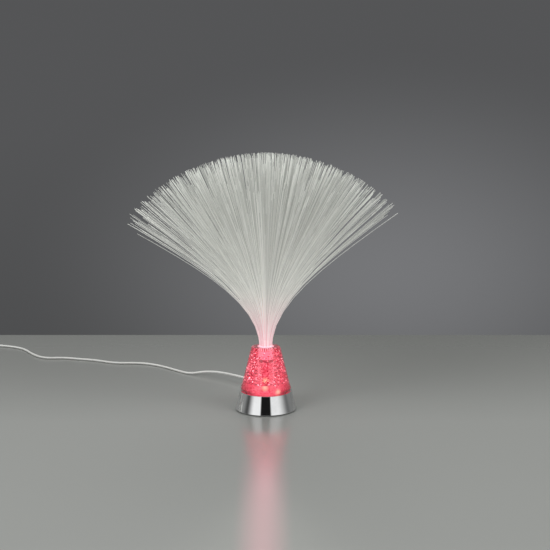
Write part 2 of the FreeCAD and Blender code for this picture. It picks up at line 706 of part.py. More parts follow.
def adaptor_pins():
    """Two round pins with domed tips, on thinner stems that pass through the back shell."""
    bare = ADAPTOR_HEIGHT + 10
    tip = ADAPTOR_HEIGHT + PIN_LENGTH
    outline = [(0, 18, 0), (1.4, 18, 0), (1.4, bare, 0), (PIN_RADIUS, bare, 0), (PIN_RADIUS, tip, 1.4), (0, tip, 0)]
    pins = []
    for side in (-1, 1):
        pin = revolved(outline)
        pin.translate(Vector(side * PIN_SPACING / 2, -12, 0))
        pins.append(to_adaptor(pin))
    return Part.makeCompound(pins)


def adaptor_pin_sleeves():
    """Insulating sleeves on the lower half of the pins."""
    sleeves = []
    for side in (-1, 1):
        outer = rod(PIN_RADIUS, ADAPTOR_HEIGHT, ADAPTOR_HEIGHT + 10, side * PIN_SPACING / 2, -12)
        inner = rod(1.45, ADAPTOR_HEIGHT, ADAPTOR_HEIGHT + 10, side * PIN_SPACING / 2, -12)
        sleeves.append(to_adaptor(outer.cut(inner)))
    return Part.makeCompound(sleeves)


def adaptor_circuit():
    """Board, transformer and smoothing capacitor."""
    board = block(29, 46, 4.0, 5.6, 0, -2)
    transformer = block(20, 18, 5.6, 17, 0, -2)
    winding = block(13, 23, 7.0, 15.5, 0, -2)
    capacitor = rod(4, 5.6, 16, 7, 16)
    posts = [rod(2.0, ADAPTOR_WALL, 4.0, side * 11, y) for side in (-1, 1) for y in (-22, 18)]
    parts = [board.fuse(posts).removeSplitter(), transformer.fuse(winding).removeSplitter(), capacitor]
    return Part.makeCompound([to_adaptor(part) for part in parts])


def adaptor_strain_relief():
    inside = ADAPTOR_LENGTH / 2 - ADAPTOR_WALL - 1.5
    outline = [
        (0, inside, 0),
        (3.8, inside, 0),
        (3.8, inside + 1.4, 0),
        (2.8, inside + 1.4, 0),
        (2.8, 30.05, 0),
        (4.0, 30.05, 0),
        (4.0, 33.0, 0.6),
        (2.9, 34.0, 0),
        (2.2, 44.0, 0.4),
        (0, 44.0, 0),
    ]
    return to_adaptor(turned_along_y(outline, Vector(0, 0, ADAPTOR_LEAD_HEIGHT)))


CENTRE_END = 51
MIDDLE_END = 104

NODES = {
    "base_shell": base_shell,
    "bottom_cover": bottom_cover,
    "rubber_feet": rubber_feet,
    "cover_screws": cover_screws,
    "acrylic_cone": acrylic_cone,
    "acrylic_screws": acrylic_screws,
    "led_carrier": led_carrier,
    "circuit_board": circuit_board,
    "leds": leds,
    "resistors": resistors,
    "inner_lead": inner_lead,
    "supply_wires": supply_wires,
    "cord_clamp": cord_clamp,
    "clamp_screws": clamp_screws,
    "strain_relief": strain_relief,
    "fibre_collar": fibre_collar,
    "fibre_ferrule": fibre_ferrule,
    "fibre_root": fibre_root,
    "fibres_centre": lambda: fibres(0, CENTRE_END),
    "fibres_middle": lambda: fibres(CENTRE_END, MIDDLE_END),
    "fibres_outer": lambda: fibres(MIDDLE_END, FIBRE_COUNT),
    "cord_to_switch": lambda: tube(ROUTE_TO_SWITCH, LEAD_RADIUS),
    "switch_lower_shell": switch_lower_shell,
    "switch_upper_shell": switch_upper_shell,
    "switch_rocker": switch_rocker,
    "switch_contacts": switch_contacts,
    "switch_screws": switch_screws,
    "cord_to_coil": lambda: tube(ROUTE_TO_COIL, LEAD_RADIUS),
    "cord_coil": cord_coil,
    "cord_tie": cord_tie,
    "cord_to_adaptor": lambda: tube(ROUTE_TO_ADAPTOR, LEAD_RADIUS),
    "adaptor_strain_relief": adaptor_strain_relief,
    "adaptor_front_shell": adaptor_front_shell,
    "adaptor_back_shell": adaptor_back_shell,
    "adaptor_pins": adaptor_pins,
    "adaptor_pin_sleeves": adaptor_pin_sleeves,
    "adaptor_circuit": adaptor_circuit,
}

os.makedirs("parts", exist_ok=True)
for name, make in NODES.items():
    make().exportStep(os.path.join("parts", name + ".step"))
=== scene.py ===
import math

import bmesh
import bpy
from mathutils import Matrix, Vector


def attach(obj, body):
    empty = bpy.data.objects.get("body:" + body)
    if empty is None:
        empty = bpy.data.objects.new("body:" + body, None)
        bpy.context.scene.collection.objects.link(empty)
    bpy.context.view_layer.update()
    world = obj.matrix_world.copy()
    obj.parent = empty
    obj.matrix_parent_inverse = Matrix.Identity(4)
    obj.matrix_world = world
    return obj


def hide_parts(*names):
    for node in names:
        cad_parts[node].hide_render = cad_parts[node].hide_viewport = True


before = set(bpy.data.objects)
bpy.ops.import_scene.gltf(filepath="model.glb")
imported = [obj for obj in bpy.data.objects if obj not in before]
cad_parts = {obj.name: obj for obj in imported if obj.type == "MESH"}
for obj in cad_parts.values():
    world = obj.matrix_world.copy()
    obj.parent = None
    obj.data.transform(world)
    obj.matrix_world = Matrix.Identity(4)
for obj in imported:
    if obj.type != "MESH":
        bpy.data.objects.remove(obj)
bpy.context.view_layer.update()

# Camera: at the photograph's height and distance, looking slightly down along +Y at the front of
# the lamp, with the lens that gives the photograph's perspective.
camera = bpy.data.objects.new("camera", bpy.data.cameras.new("camera"))
camera.location = (0.01178, -1.621, 0.4648)
camera.rotation_euler = (math.radians(79.85), 0, 0)
camera.data.sensor_width = 36.0
camera.data.lens = 85.09
camera.data.clip_start = 0.01
bpy.context.scene.collection.objects.link(camera)
bpy.context.scene.camera = camera
bpy.context.scene.view_settings.view_transform = "Standard"


# Lead: a thin round two-core cable in white PVC. It lies on the table in the photo's loose curves,
# passes through the switch and is wound into a ten-turn coil for storage before the adaptor.
def put(tree, kind, feeds=(), **choices):
    """Adds a node to a tree. Each feed is a value for an input, or an output that is linked to it."""
    node = tree.nodes.new(kind)
    for name, choice in choices.items():
        setattr(node, name, choice)
    for name, feed in dict(feeds).items():
        if isinstance(feed, bpy.types.NodeSocket):
            tree.links.new(feed, node.inputs[name])
        else:
            node.inputs[name].default_value = feed
    return node


def finish_of(name, **plain):
    """A new material, with the values that are the same all over set on its shader."""
    material = bpy.data.materials.new(name)
    material.use_nodes = True
    shader = material.node_tree.nodes["Principled BSDF"]
    for socket, value in plain.items():
        shader.inputs[socket.replace("_", " ")].default_value = value
    return material, material.node_tree, shader


def sums(tree, operation, first, second=0.0):
    return put(tree, "ShaderNodeMath", {0: first, 1: second}, operation=operation).outputs[0]


def blend(tree, share, low, high):
    """A colour between two colours."""
    feeds = {0: share, 6: low, 7: high}
    return put(tree, "ShaderNodeMix", feeds, data_type="RGBA").outputs[2]


def ramp(tree, value, start, end, smooth=False):
    """0 where a figure is at its start, and 1 where it reaches its end."""
    feeds = {"Value": value, 1: start, 2: end}
    kind = "SMOOTHSTEP" if smooth else "LINEAR"
    return put(tree, "ShaderNodeMapRange", feeds, interpolation_type=kind).outputs[0]


def place_in(tree):
    return put(tree, "ShaderNodeTexCoord").outputs["Object"]


def along(tree, place, axis):
    return put(tree, "ShaderNodeSeparateXYZ", {0: place}).outputs[axis]


def noise(tree, place, scale, detail=2.0, roughness=0.5):
    feeds = {"Vector": place, "Scale": scale, "Detail": detail, "Roughness": roughness}
    return put(tree, "ShaderNodeTexNoise", feeds).outputs["Fac"]


def paint(shader, **feeds):
    """Links what a finish has worked out to the sockets of its shader."""
    for socket, feed in feeds.items():
        shader.id_data.links.new(feed, shader.inputs[socket.replace("_", " ")])


def soiled(shader, smudge, share, roughness):
    """Roughness, with the share that a smudge adds to it."""
    gloss = sums(shader.id_data, "MULTIPLY_ADD", smudge, share)
    gloss.node.inputs[2].default_value = roughness
    paint(shader, Roughness=gloss)


def raised(shader, height, strength, depth):
    """A fine relief, whose highest point stands out by depth."""
    feeds = {"Height": height, "Strength": strength, "Distance": depth}
    paint(shader, Normal=put(shader.id_data, "ShaderNodeBump", feeds).outputs["Normal"])


def effect(name, inputs, outputs):
    """An empty effect that several finishes can use, with its named inputs and outputs."""
    group = bpy.data.node_groups.new(name, "ShaderNodeTree")
    for label, start in inputs.items():
        socket = group.interface.new_socket(label, in_out="INPUT", socket_type="NodeSocketFloat")
        socket.default_value = start
    for label in outputs:
        group.interface.new_socket(label, in_out="OUTPUT", socket_type="NodeSocketFloat")
    return group, put(group, "NodeGroupInput").outputs, put(group, "NodeGroupOutput").inputs


def moulding_grain_effect():
    """The fine texture that a mould leaves, and the slow unevenness of tone in moulded plastic."""
    inputs = {"Grain Size": 0.0005, "Unevenness": 0.03}
    group, given, result = effect("moulding grain", inputs, ["Height", "Tone"])
    place = place_in(group)
    fine = noise(group, place, sums(group, "DIVIDE", 1.0, given["Grain Size"]), 3.0)
    slow = noise(group, place, sums(group, "DIVIDE", 1.0, given["Unevenness"]))
    group.links.new(fine, result["Height"])
    group.links.new(slow, result["Tone"])
    return group


def handling_effect():
    """Smudges of handling and hair-fine scratches, which change the gloss."""
    inputs = {"Smudge Size": 0.02, "Scratches": 0.3}
    group, given, result = effect("handling", inputs, ["Smudge", "Height"])
    place = place_in(group)
    smudge = noise(group, place, sums(group, "DIVIDE", 1.0, given["Smudge Size"]), 5.0, 0.6)
    feeds = {"Vector": place, "Scale": (900.0, 1100.0, 45.0)}
    stretched = put(group, "ShaderNodeMapping", feeds).outputs[0]
    scratch = ramp(group, noise(group, stretched, 1.0, 1.0), 0.66, 0.74)
    group.links.new(ramp(group, smudge, 0.42, 0.68), result["Smudge"])
    group.links.new(sums(group, "MULTIPLY", scratch, given["Scratches"]), result["Height"])
    return group


def dust_effect():
    """Settled dust, thicker on what faces up."""
    group, given, result = effect("dust", {"Cover": 0.2}, ["Mask"])
    place = place_in(group)
    facing = along(group, put(group, "ShaderNodeNewGeometry").outputs["Normal"], "Z")
    mask = sums(group, "MULTIPLY", noise(group, place, 1600.0, 4.0, 0.7), noise(group, place, 60.0))
    mask = sums(group, "MULTIPLY", mask, ramp(group, facing, 0.3, 1.0))
    group.links.new(sums(group, "MULTIPLY", mask, given["Cover"]), result["Mask"])
    return group


MOULDING_GRAIN = moulding_grain_effect()
HANDLING = handling_effect()
DUST = dust_effect()
DUST_COLOUR = (0.42, 0.4, 0.37, 1.0)


def plastic(name, colour, darker, roughness, grain=0.0005, depth=0.00002, dust=0.2, **plain):
    """A moulded or extruded plastic: grain, uneven tone, smudged gloss and a little dust."""
    material, tree, shader = finish_of(name, **plain)
    texture = put(tree, "ShaderNodeGroup", node_tree=MOULDING_GRAIN)
    texture.inputs["Grain Size"].default_value = grain
    touch = put(tree, "ShaderNodeGroup", node_tree=HANDLING)
    settled = put(tree, "ShaderNodeGroup", node_tree=DUST)
    settled.inputs["Cover"].default_value = dust
    tone = blend(tree, texture.outputs["Tone"], colour, darker)
    paint(shader, Base_Color=blend(tree, settled.outputs["Mask"], tone, DUST_COLOUR))
    soiled(shader, touch.outputs["Smudge"], 0.12, roughness)
    raised(shader, texture.outputs["Height"], 0.6, depth)
    return material


LEAD_DIAMETER = 0.003
TO_SWITCH = [
    (0, 0.054, 0.008), (0, 0.077, 0.008), (-0.010, 0.103, 0.0078), (-0.033, 0.129, 0.0076),
    (-0.060, 0.154, 0.0074), (-0.085, 0.170, 0.0056), (-0.109, 0.171, 0.0015), (-0.128, 0.189, 0.0015),
    (-0.147, 0.210, 0.0015), (-0.168, 0.227, 0.0015), (-0.189, 0.235, 0.0015), (-0.223, 0.233, 0.0015),
    (-0.252, 0.251, 0.0015), (-0.278, 0.258, 0.0015), (-0.304, 0.267, 0.0015), (-0.331, 0.263, 0.0015),
    (-0.352, 0.285, 0.0015), (-0.372, 0.322, 0.0015), (-0.392, 0.337, 0.0015), (-0.420, 0.348, 0.0015),
    (-0.446, 0.348, 0.0015), (-0.465, 0.325, 0.0055), (-0.465, 0.300, 0.0055),
]
TO_COIL = [
    (-0.465, 0.242, 0.0055), (-0.465, 0.231, 0.0055), (-0.4644, 0.218, 0.0093), (-0.4635, 0.205, 0.0099),
]
TO_ADAPTOR = [
    (-0.4654, 0.187, 0.0017), (-0.464, 0.168, 0.007), (-0.464, 0.150, 0.007), (-0.464, 0.126, 0.007),
]
COIL_MIDDLE = (-0.4455, 0.205)
COIL_TURNS = [
    (0.018, 0.0099), (0.015, 0.0099), (0.0135, 0.0073), (0.0165, 0.0073), (0.0195, 0.0073),
    (0.018, 0.0047), (0.015, 0.0047), (0.0135, 0.0021), (0.0165, 0.0021), (0.0195, 0.0021),
]
POINTS_PER_TURN = 16
KEPT_RADIUS = 0.981  # share of its points' radius that the curve of a turn has

lead_points = TO_SWITCH + TO_COIL
for turn, (radius, height) in enumerate(COIL_TURNS):
    next_radius, next_height = COIL_TURNS[min(turn + 1, len(COIL_TURNS) - 1)]
    for step in range(1, POINTS_PER_TURN + 1):
        angle = math.pi + 2 * math.pi * step / POINTS_PER_TURN
        shift = max(0.0, 4 * step / POINTS_PER_TURN - 3)
        reach = (radius + (next_radius - radius) * shift) / KEPT_RADIUS
        level = height + (next_height - height) * shift
        x = COIL_MIDDLE[0] + reach * math.cos(angle)
        y = COIL_MIDDLE[1] + reach * math.sin(angle)
        lead_points.append((x, y, level))
lead_points += TO_ADAPTOR

lead_curve = bpy.data.curves.new("lead", "CURVE")
lead_curve.dimensions = "3D"
lead_spline = lead_curve.splines.new("NURBS")
lead_spline.points.add(len(lead_points) - 1)
for point, place in zip(lead_spline.points, lead_points):
    point.co = (*place, 1.0)
lead_spline.order_u = 3
lead_spline.use_endpoint_u = True
lead_spline.resolution_u = 6
lead_curve.bevel_depth = LEAD_DIAMETER / 2
lead_curve.bevel_resolution = 3
lead_curve.use_fill_caps = True
lead = bpy.data.objects.new("lead", lead_curve)
bpy.context.scene.collection.objects.link(lead)
PVC_WHITE, PVC_SHADED = (0.66, 0.66, 0.65, 1), (0.56, 0.56, 0.54, 1)
WHITE_PVC = plastic("white pvc", PVC_WHITE, PVC_SHADED, 0.3, grain=0.0012, depth=0.00003)
lead_curve.materials.append(WHITE_PVC)
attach(lead, "root")
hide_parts("cord_to_switch", "cord_to_coil", "cord_coil", "cord_to_adaptor")


# Base: a drawn and chromed shell, open below, with a flat shelf that the acrylic stands on. Its
# plating is a true mirror, so it shows the studio round it more than a colour of its own.
def lathe(name, outline, steps=96, smooth_angle=50.0):
    """A turned mesh from (radius, height, corner radius) points in millimetres, in metres."""
    loop = []
    for index, (radius, height, corner) in enumerate(outline):
        here = Vector((radius, height))
        back = Vector(outline[index - 1][:2]) - here
        ahead = Vector(outline[(index + 1) % len(outline)][:2]) - here
        if corner <= 0:
            loop.append(here)
            continue
        half = back.angle(ahead) / 2
        middle = here + (back.normalized() + ahead.normalized()).normalized() * (corner / math.sin(half))
        first = here + back.normalized() * (corner / math.tan(half)) - middle
        last = here + ahead.normalized() * (corner / math.tan(half)) - middle
        cuts = max(2, math.ceil(first.angle(last) / math.radians(16)))
        for cut in range(cuts + 1):
            loop.append(middle + first.slerp(last, cut / cuts) * corner)
    rings = []
    for index, here in enumerate(loop):
        ahead = loop[(index + 1) % len(loop)]
        rings.append(here)
        run = (ahead - here).length
        if run > 1.5:
            rings += [here.lerp(ahead, 0.3 / run), here.lerp(ahead, 1 - 0.3 / run)]
    form = bmesh.new()
    turned = []
    for ring in rings:
        if ring.x < 1e-6:
            turned.append([form.verts.new((0, 0, ring.y / 1000))] * steps)
            continue
        radius, height = ring.x / 1000, ring.y / 1000
        angles = [2 * math.pi * step / steps for step in range(steps)]
        round_axis = [(radius * math.cos(angle), radius * math.sin(angle), height) for angle in angles]
        turned.append([form.verts.new(corner) for corner in round_axis])
    for index, ring in enumerate(turned):
        following = turned[(index + 1) % len(turned)]
        if ring[0] is ring[1] and following[0] is following[1]:
            continue
        for step in range(steps):
            corners = [ring[step], ring[(step + 1) % steps], following[(step + 1) % steps], following[step]]
            face = []
            for corner in corners:
                if corner not in face:
                    face.append(corner)
            form.faces.new(face)
    bmesh.ops.recalc_face_normals(form, faces=form.faces)
    mesh = bpy.data.meshes.new(name)
    form.to_mesh(mesh)
    form.free()
    mesh.shade_smooth()
    mesh.set_sharp_from_angle(angle=math.radians(smooth_angle))
    piece = bpy.data.objects.new(name, mesh)
    bpy.context.scene.collection.objects.link(piece)
    return piece


def settle(piece, material, body, slot, *nodes):
    """Gives a piece its finish, the body it moves with and the nodes it stands for; its slot is not used."""
    if material:
        piece.data.materials.clear()
        piece.data.materials.append(material)
    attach(piece, body)
    if nodes:
        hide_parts(*nodes)
    return piece


BASE_RADIUS, BASE_TAPER, BASE_FOOT = 40.0, 0.2727, 1.0
SHELL_TOP, SHELL_WALL, SHELF_THICKNESS, SHELF_OPENING = 24.5, 1.8, 2.0, 23.0


def cone(height):
    """Outer radius of the conical base at a height, in millimetres."""
    return BASE_RADIUS - BASE_TAPER * height


chrome, chrome_tree, chrome_shader = finish_of("chrome", Metallic=1.0, IOR=2.5)
marks = put(chrome_tree, "ShaderNodeGroup", node_tree=HANDLING)
marks.inputs["Scratches"].default_value = 0.1
chrome_tint = blend(chrome_tree, marks.outputs["Smudge"], (0.86, 0.86, 0.87, 1), (0.79, 0.79, 0.8, 1))
paint(chrome_shader, Base_Color=chrome_tint)
soiled(chrome_shader, marks.outputs["Smudge"], 0.05, 0.035)
raised(chrome_shader, marks.outputs["Height"], 0.05, 0.000004)

shelf = SHELL_TOP - SHELF_THICKNESS
base = lathe("chromed_base", [
    (cone(BASE_FOOT) - SHELL_WALL, BASE_FOOT, 0), (cone(BASE_FOOT), BASE_FOOT, 0.5),
    (cone(SHELL_TOP), SHELL_TOP, 0.8), (SHELF_OPENING, SHELL_TOP, 0.3),
    (SHELF_OPENING, shelf, 0), (cone(shelf) - SHELL_WALL, shelf, 1),
], steps=160)
settle(base, chrome, "root", "chromed_shell", "base_shell")


# Bottom of the base: a moulded cover held by three screws, on three stuck-on rubber feet. Their
# solids are right as they are and only get their finishes.
def dress(material, *nodes):
    """Gives a finish to nodes that stay as they are."""
    for node in nodes:
        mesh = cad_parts[node].data
        mesh.materials.clear()
        mesh.materials.append(material)


BLACK, BLACK_SHADED = (0.028, 0.028, 0.03, 1), (0.022, 0.022, 0.023, 1)
RUBBER_BLACK, RUBBER_WORN = (0.022, 0.022, 0.022, 1), (0.03, 0.03, 0.03, 1)
BLACK_MOULDING = plastic("black moulding", BLACK, BLACK_SHADED, 0.42, depth=0.00006, dust=0.1)
RUBBER = plastic("foot rubber", RUBBER_BLACK, RUBBER_WORN, 0.65, grain=0.0008, depth=0.00006, dust=0.3)
dress(BLACK_MOULDING, "bottom_cover", "cord_clamp")
dress(RUBBER, "rubber_feet")


# Screws and other plated metal: zinc on the screws and nickel on the pins and contacts, with fine
# marks from the heading and polishing.
def plated(name, colour, darker, roughness):
    """A plated metal with small smudges and fine scratches."""
    material, tree, shader = finish_of(name, Metallic=1.0)
    marks = put(tree, "ShaderNodeGroup", node_tree=HANDLING)
    marks.inputs["Smudge Size"].default_value = 0.003
    paint(shader, Base_Color=blend(tree, marks.outputs["Smudge"], colour, darker))
    soiled(shader, marks.outputs["Smudge"], 0.2, roughness)
    raised(shader, marks.outputs["Height"], 0.3, 0.00001)
    return material


ZINC = plated("zinc", (0.62, 0.62, 0.6, 1), (0.5, 0.51, 0.52, 1), 0.28)
NICKEL = plated("nickel", (0.78, 0.74, 0.62, 1), (0.66, 0.62, 0.5, 1), 0.2)
dress(ZINC, "cover_screws", "acrylic_screws", "clamp_screws", "switch_screws")
dress(NICKEL, "adaptor_pins", "switch_contacts")


# Lighting set: a white carrier with the round board, three red diodes, of which the left one is
# out, and their resistors. Seen through the acrylic, the lit ones are the brightest in the lamp.
WHITE_MOULDING = plastic("white moulding", (0.8, 0.8, 0.78, 1), (0.72, 0.72, 0.69, 1), 0.3, depth=0.00002)
CORE = plastic("core insulation", (0.5, 0.02, 0.02, 1), (0.4, 0.015, 0.015, 1), 0.3)
BOARD = plastic("board lacquer", (0.03, 0.16, 0.06, 1), (0.05, 0.24, 0.1, 1), 0.3, grain=0.0007)
LACQUER = plastic("resistor lacquer", (0.5, 0.38, 0.22, 1), (0.42, 0.3, 0.17, 1), 0.25)
dress(WHITE_MOULDING, "led_carrier", "adaptor_pin_sleeves")
dress(WHITE_PVC, "inner_lead")
dress(CORE, "supply_wires")
dress(BOARD, "circuit_board", "adaptor_circuit")
dress(LACQUER, "resistors")


def smoothed(name, angle, *nodes):
    """A merged copy of nodes, shaded smooth up to an angle."""
    form = bmesh.new()
    for node in nodes:
        form.from_mesh(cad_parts[node].data)
    bmesh.ops.remove_doubles(form, verts=form.verts, dist=1e-6)
    mesh = bpy.data.meshes.new(name)
    form.to_mesh(mesh)
    form.free()
    mesh.shade_smooth()
    mesh.set_sharp_from_angle(angle=math.radians(angle))
    piece = bpy.data.objects.new(name, mesh)
    bpy.context.scene.collection.objects.link(piece)
    return piece


diode, diode_tree, diode_shader = finish_of("lit diode", Roughness=0.2, Emission_Strength=4.0)
diode_place = place_in(diode_tree)
diode_rise = ramp(diode_tree, along(diode_tree, diode_place, "Z"), 0.0261, 0.0347)
diode_glow = blend(diode_tree, diode_rise, (0.9, 0.03, 0.02, 1), (1.0, 0.42, 0.36, 1))
diode_lit = ramp(diode_tree, along(diode_tree, diode_place, "X"), -0.0035, -0.0030)
diode_glow = blend(diode_tree, diode_lit, (0.05, 0.0, 0.0, 1), diode_glow)
paint(diode_shader, Emission_Color=diode_glow, Base_Color=diode_glow)
settle(smoothed("lit_diodes", 40, "leds"), diode, "root", "led_epoxy", "leds")


# Strain relief: a soft ribbed sleeve moulded on the lead and snapped into the hole in the base. Its
# outline is turned about the lead and then laid along +Y.
def lay_along_y(piece, foot):
    """Turns a lathed mesh so that its axis runs along +Y from the point foot, in its vertices."""
    for vertex in piece.data.vertices:
        x, y, z = vertex.co
        vertex.co = (x + foot[0], z + foot[1], -y + foot[2])
    return piece


RIBS, RIB_PITCH, FIRST_RIB, RIB_RADIUS, RIB_TAPER, GROOVE_DEPTH = 4, 2.6, 43.0, 3.2, 0.22, 0.5
relief_outline = [(0, 32.2, 0), (4.2, 32.2, 0.3), (4.2, 34.6, 0), (3.5, 34.6, 0), (3.5, 36.5, 0)]
relief_outline += [(4.8, 37.0, 0), (4.8, 41.5, 0.8), (3.2, 42.0, 0)]
for rib in range(RIBS):
    back, radius = FIRST_RIB + RIB_PITCH * rib, RIB_RADIUS - RIB_TAPER * rib
    groove_radius = radius - GROOVE_DEPTH
    relief_outline += [(radius, back, 0.1), (groove_radius, back + 0.4, 0.1)]
    relief_outline += [(groove_radius, back + 1.0, 0.1), (radius - 0.1, back + 1.4, 0.1)]
relief_outline += [(2.3, 54.0, 0.4), (0, 54.0, 0)]
relief_sleeve = lay_along_y(lathe("lead_relief", relief_outline, steps=48), (0, 0, 0.008))
settle(relief_sleeve, WHITE_PVC, "root", "white_pvc", "strain_relief")


# Acrylic cone: cast clear acrylic with a flared foot, a rounded shoulder, a dished top and a
# stepped well. Its colour is a painted pink tint for the red light from below, with a painted
# dark red outline where it is seen edge on.
acrylic, acrylic_tree, acrylic_shader = finish_of(
    "lit acrylic", Roughness=0.02, IOR=1.16, Transmission_Weight=1.0, Coat_Weight=1.0, Coat_Roughness=0.02,
)
edge = put(acrylic_tree, "ShaderNodeLayerWeight", {"Blend": 0.5}).outputs["Facing"]
edge = sums(acrylic_tree, "POWER", edge, 1.9)
paint(acrylic_shader, Base_Color=blend(acrylic_tree, edge, (1.0, 0.9, 0.92, 1), (0.1, 0.002, 0.008, 1)))
ACRYLIC_FOOT, ACRYLIC_WAIST, ACRYLIC_SHOULDER, ACRYLIC_TOP = 33.6, (30.4, 34.5), 18.4, 82.4
DISH_RADIUS, DISH_FLOOR, GROOVE_FLOOR = 11.2, 80.5, 77.0
COLLAR_WELL, COLLAR_SEAT, FERRULE_WELL, FERRULE_SEAT = 10.0, 66.0, 9.2, 62.0
FLANGE_RADIUS, LIGHT_BORE, BORE_FLOOR, RECESS = 10.6, 8.6, 36.5, 15.0
acrylic_body = lathe("acrylic_body", [
    (RECESS, SHELL_TOP, 0), (ACRYLIC_FOOT, SHELL_TOP, 3.2), (*ACRYLIC_WAIST, 10),
    (ACRYLIC_SHOULDER, ACRYLIC_TOP, 3.5), (DISH_RADIUS, ACRYLIC_TOP, 0.3), (DISH_RADIUS, DISH_FLOOR, 0),
    (FLANGE_RADIUS, DISH_FLOOR, 0), (FLANGE_RADIUS, GROOVE_FLOOR, 0), (COLLAR_WELL, GROOVE_FLOOR, 0),
    (COLLAR_WELL, COLLAR_SEAT, 0), (FERRULE_WELL, COLLAR_SEAT, 0), (FERRULE_WELL, FERRULE_SEAT, 0),
    (LIGHT_BORE, FERRULE_SEAT, 0), (LIGHT_BORE, BORE_FLOOR, 2), (RECESS, BORE_FLOOR, 1.2),
], steps=128)
settle(acrylic_body, acrylic, "root", "clear_acrylic", "acrylic_cone")


# Light inside the acrylic: the red glow of its far wall, which is a skin that shows only from
# inside, the lit bore down its middle, and the bright foot with the diodes' glints.
def glowing(name, dark, bright, haze, solid, bare=0.0):
    """A mottled glow, hazy on its near side and solid on its far side, with none within bare of the axis."""
    material, tree, shader = finish_of(name, Roughness=0.6, Emission_Strength=1.0)
    place = place_in(tree)
    cells = put(tree, "ShaderNodeTexVoronoi", {"Vector": place, "Scale": 430.0}).outputs["Distance"]
    mottle = sums(tree, "MULTIPLY", noise(tree, place, 260.0, 4.0, 0.7), sums(tree, "ADD", cells, 0.6))
    light = blend(tree, ramp(tree, mottle, 0.35, 0.8), dark, bright)
    paint(shader, Emission_Color=light, Base_Color=blend(tree, 0.8, light, (0.02, 0.0, 0.0, 1)))
    inside = put(tree, "ShaderNodeNewGeometry").outputs["Backfacing"]
    cover = put(tree, "ShaderNodeMapRange", {"Value": inside, 3: haze, 4: solid}).outputs[0]
    level = put(tree, "ShaderNodeVectorMath", {0: place, 1: (1.0, 1.0, 0.0)}, operation="MULTIPLY").outputs[0]
    from_axis = put(tree, "ShaderNodeVectorMath", {0: level}, operation="LENGTH").outputs["Value"]
    paint(shader, Alpha=sums(tree, "MULTIPLY", cover, sums(tree, "GREATER_THAN", from_axis, bare)))
    return material, tree, shader, place, light


def spot(tree, place, middle, reach, core=0.0):
    """1 near a point, falling softly to 0 at its reach."""
    feeds = {0: place, 1: middle}
    away = put(tree, "ShaderNodeVectorMath", feeds, operation="DISTANCE").outputs["Value"]
    return ramp(tree, away, reach, core, smooth=True)


WALL_DARK, WALL_BRIGHT, SHOULDER_PAINTED_SHADE = (0.12, 0.001, 0.006, 1), (1.1, 0.14, 0.22, 1), (0.09, 0.0, 0.003, 1)
glow, tree, shader, place, light = glowing("far wall glow", WALL_DARK, WALL_BRIGHT, 0.0, 0.95, bare=0.0125)
# Painted shade: the far wall's glow darkens at the shoulder, towards the top.
shoulder_shade = ramp(tree, along(tree, place, "Z"), 0.0740, 0.0785)
paint(shader, Emission_Color=blend(tree, shoulder_shade, light, SHOULDER_PAINTED_SHADE))
lit_wall = lathe("lit_wall", [(12, 36.8, 0), (28.9, 36.8, 1), (17.2, 80.6, 2.5), (12, 80.6, 0)], steps=96)
settle(lit_wall, glow, "root", "clear_acrylic")

BORE_DARK, BORE_BRIGHT, BORE_EDGE = (0.55, 0.02, 0.05, 1), (1.1, 0.18, 0.26, 1), (1.2, 0.35, 0.46, 1)
BORE_GLINT, BORE_GLINT_MIDDLE, BORE_GLINT_REACH = (1.5, 0.62, 0.42, 1), (0.0, -0.0089, 0.0385), 0.0065
glow, tree, shader, place, light = glowing("bore glow", BORE_DARK, BORE_BRIGHT, 0.75, 0.8)
# Painted light: the bore glows brighter at its edges, with a painted glint of a diode low at its front.
edge = put(tree, "ShaderNodeLayerWeight", {"Blend": 0.5}).outputs["Facing"]
light = blend(tree, sums(tree, "POWER", edge, 2.5), light, BORE_EDGE)
light = blend(tree, spot(tree, place, BORE_GLINT_MIDDLE, BORE_GLINT_REACH), light, BORE_GLINT)
paint(shader, Emission_Color=light)
lit_bore = lathe("lit_bore", [(8.0, 37.5, 0), (8.9, 37.5, 0), (8.9, 61.5, 0), (8.0, 61.5, 0)], steps=72)
settle(lit_bore, glow, "root", "clear_acrylic")

FOOT_DARK, FOOT_BRIGHT, FOOT_GLINT = (0.7, 0.03, 0.07, 1), (1.15, 0.19, 0.27, 1), (2.2, 1.2, 0.8, 1)
FOOT_GLINTS = (((-0.001, -0.0290, 0.0350), 0.0062), ((0.0155, -0.0265, 0.0285), 0.0055))
UNLIT_MIDDLE, UNLIT_REACH, UNLIT_CORE, UNLIT = (-0.0193, -0.0235, 0.0275), 0.003, 0.001, (0.2, 0.0, 0.01, 1)
glow, tree, shader, place, light = glowing("foot glow", FOOT_DARK, FOOT_BRIGHT, 0.45, 0.9)
# Painted glints of the two lit diodes, and a painted dark spot where the unlit one is.
for middle, reach in FOOT_GLINTS:
    light = blend(tree, spot(tree, place, middle, reach), light, FOOT_GLINT)
light = blend(tree, spot(tree, place, UNLIT_MIDDLE, UNLIT_REACH, UNLIT_CORE), light, UNLIT)
# Painted shade low on the foot's sides, where it overhangs the chrome.
low = ramp(tree, along(tree, place, "Z"), 0.0296, 0.0264)
side = ramp(tree, sums(tree, "ABSOLUTE", along(tree, place, "X")), 0.012, 0.024)
paint(shader, Emission_Color=blend(tree, sums(tree, "MULTIPLY", low, side), light, (0.05, 0.0, 0.002, 1)))
lit_foot = lathe("lit_foot", [
    (15.8, 25.0, 0), (32.2, 25.0, 3), (29.4, 34.8, 8), (29.0, 36.2, 0), (15.8, 37.0, 0),
], steps=96)
settle(lit_foot, glow, "root", "clear_acrylic")
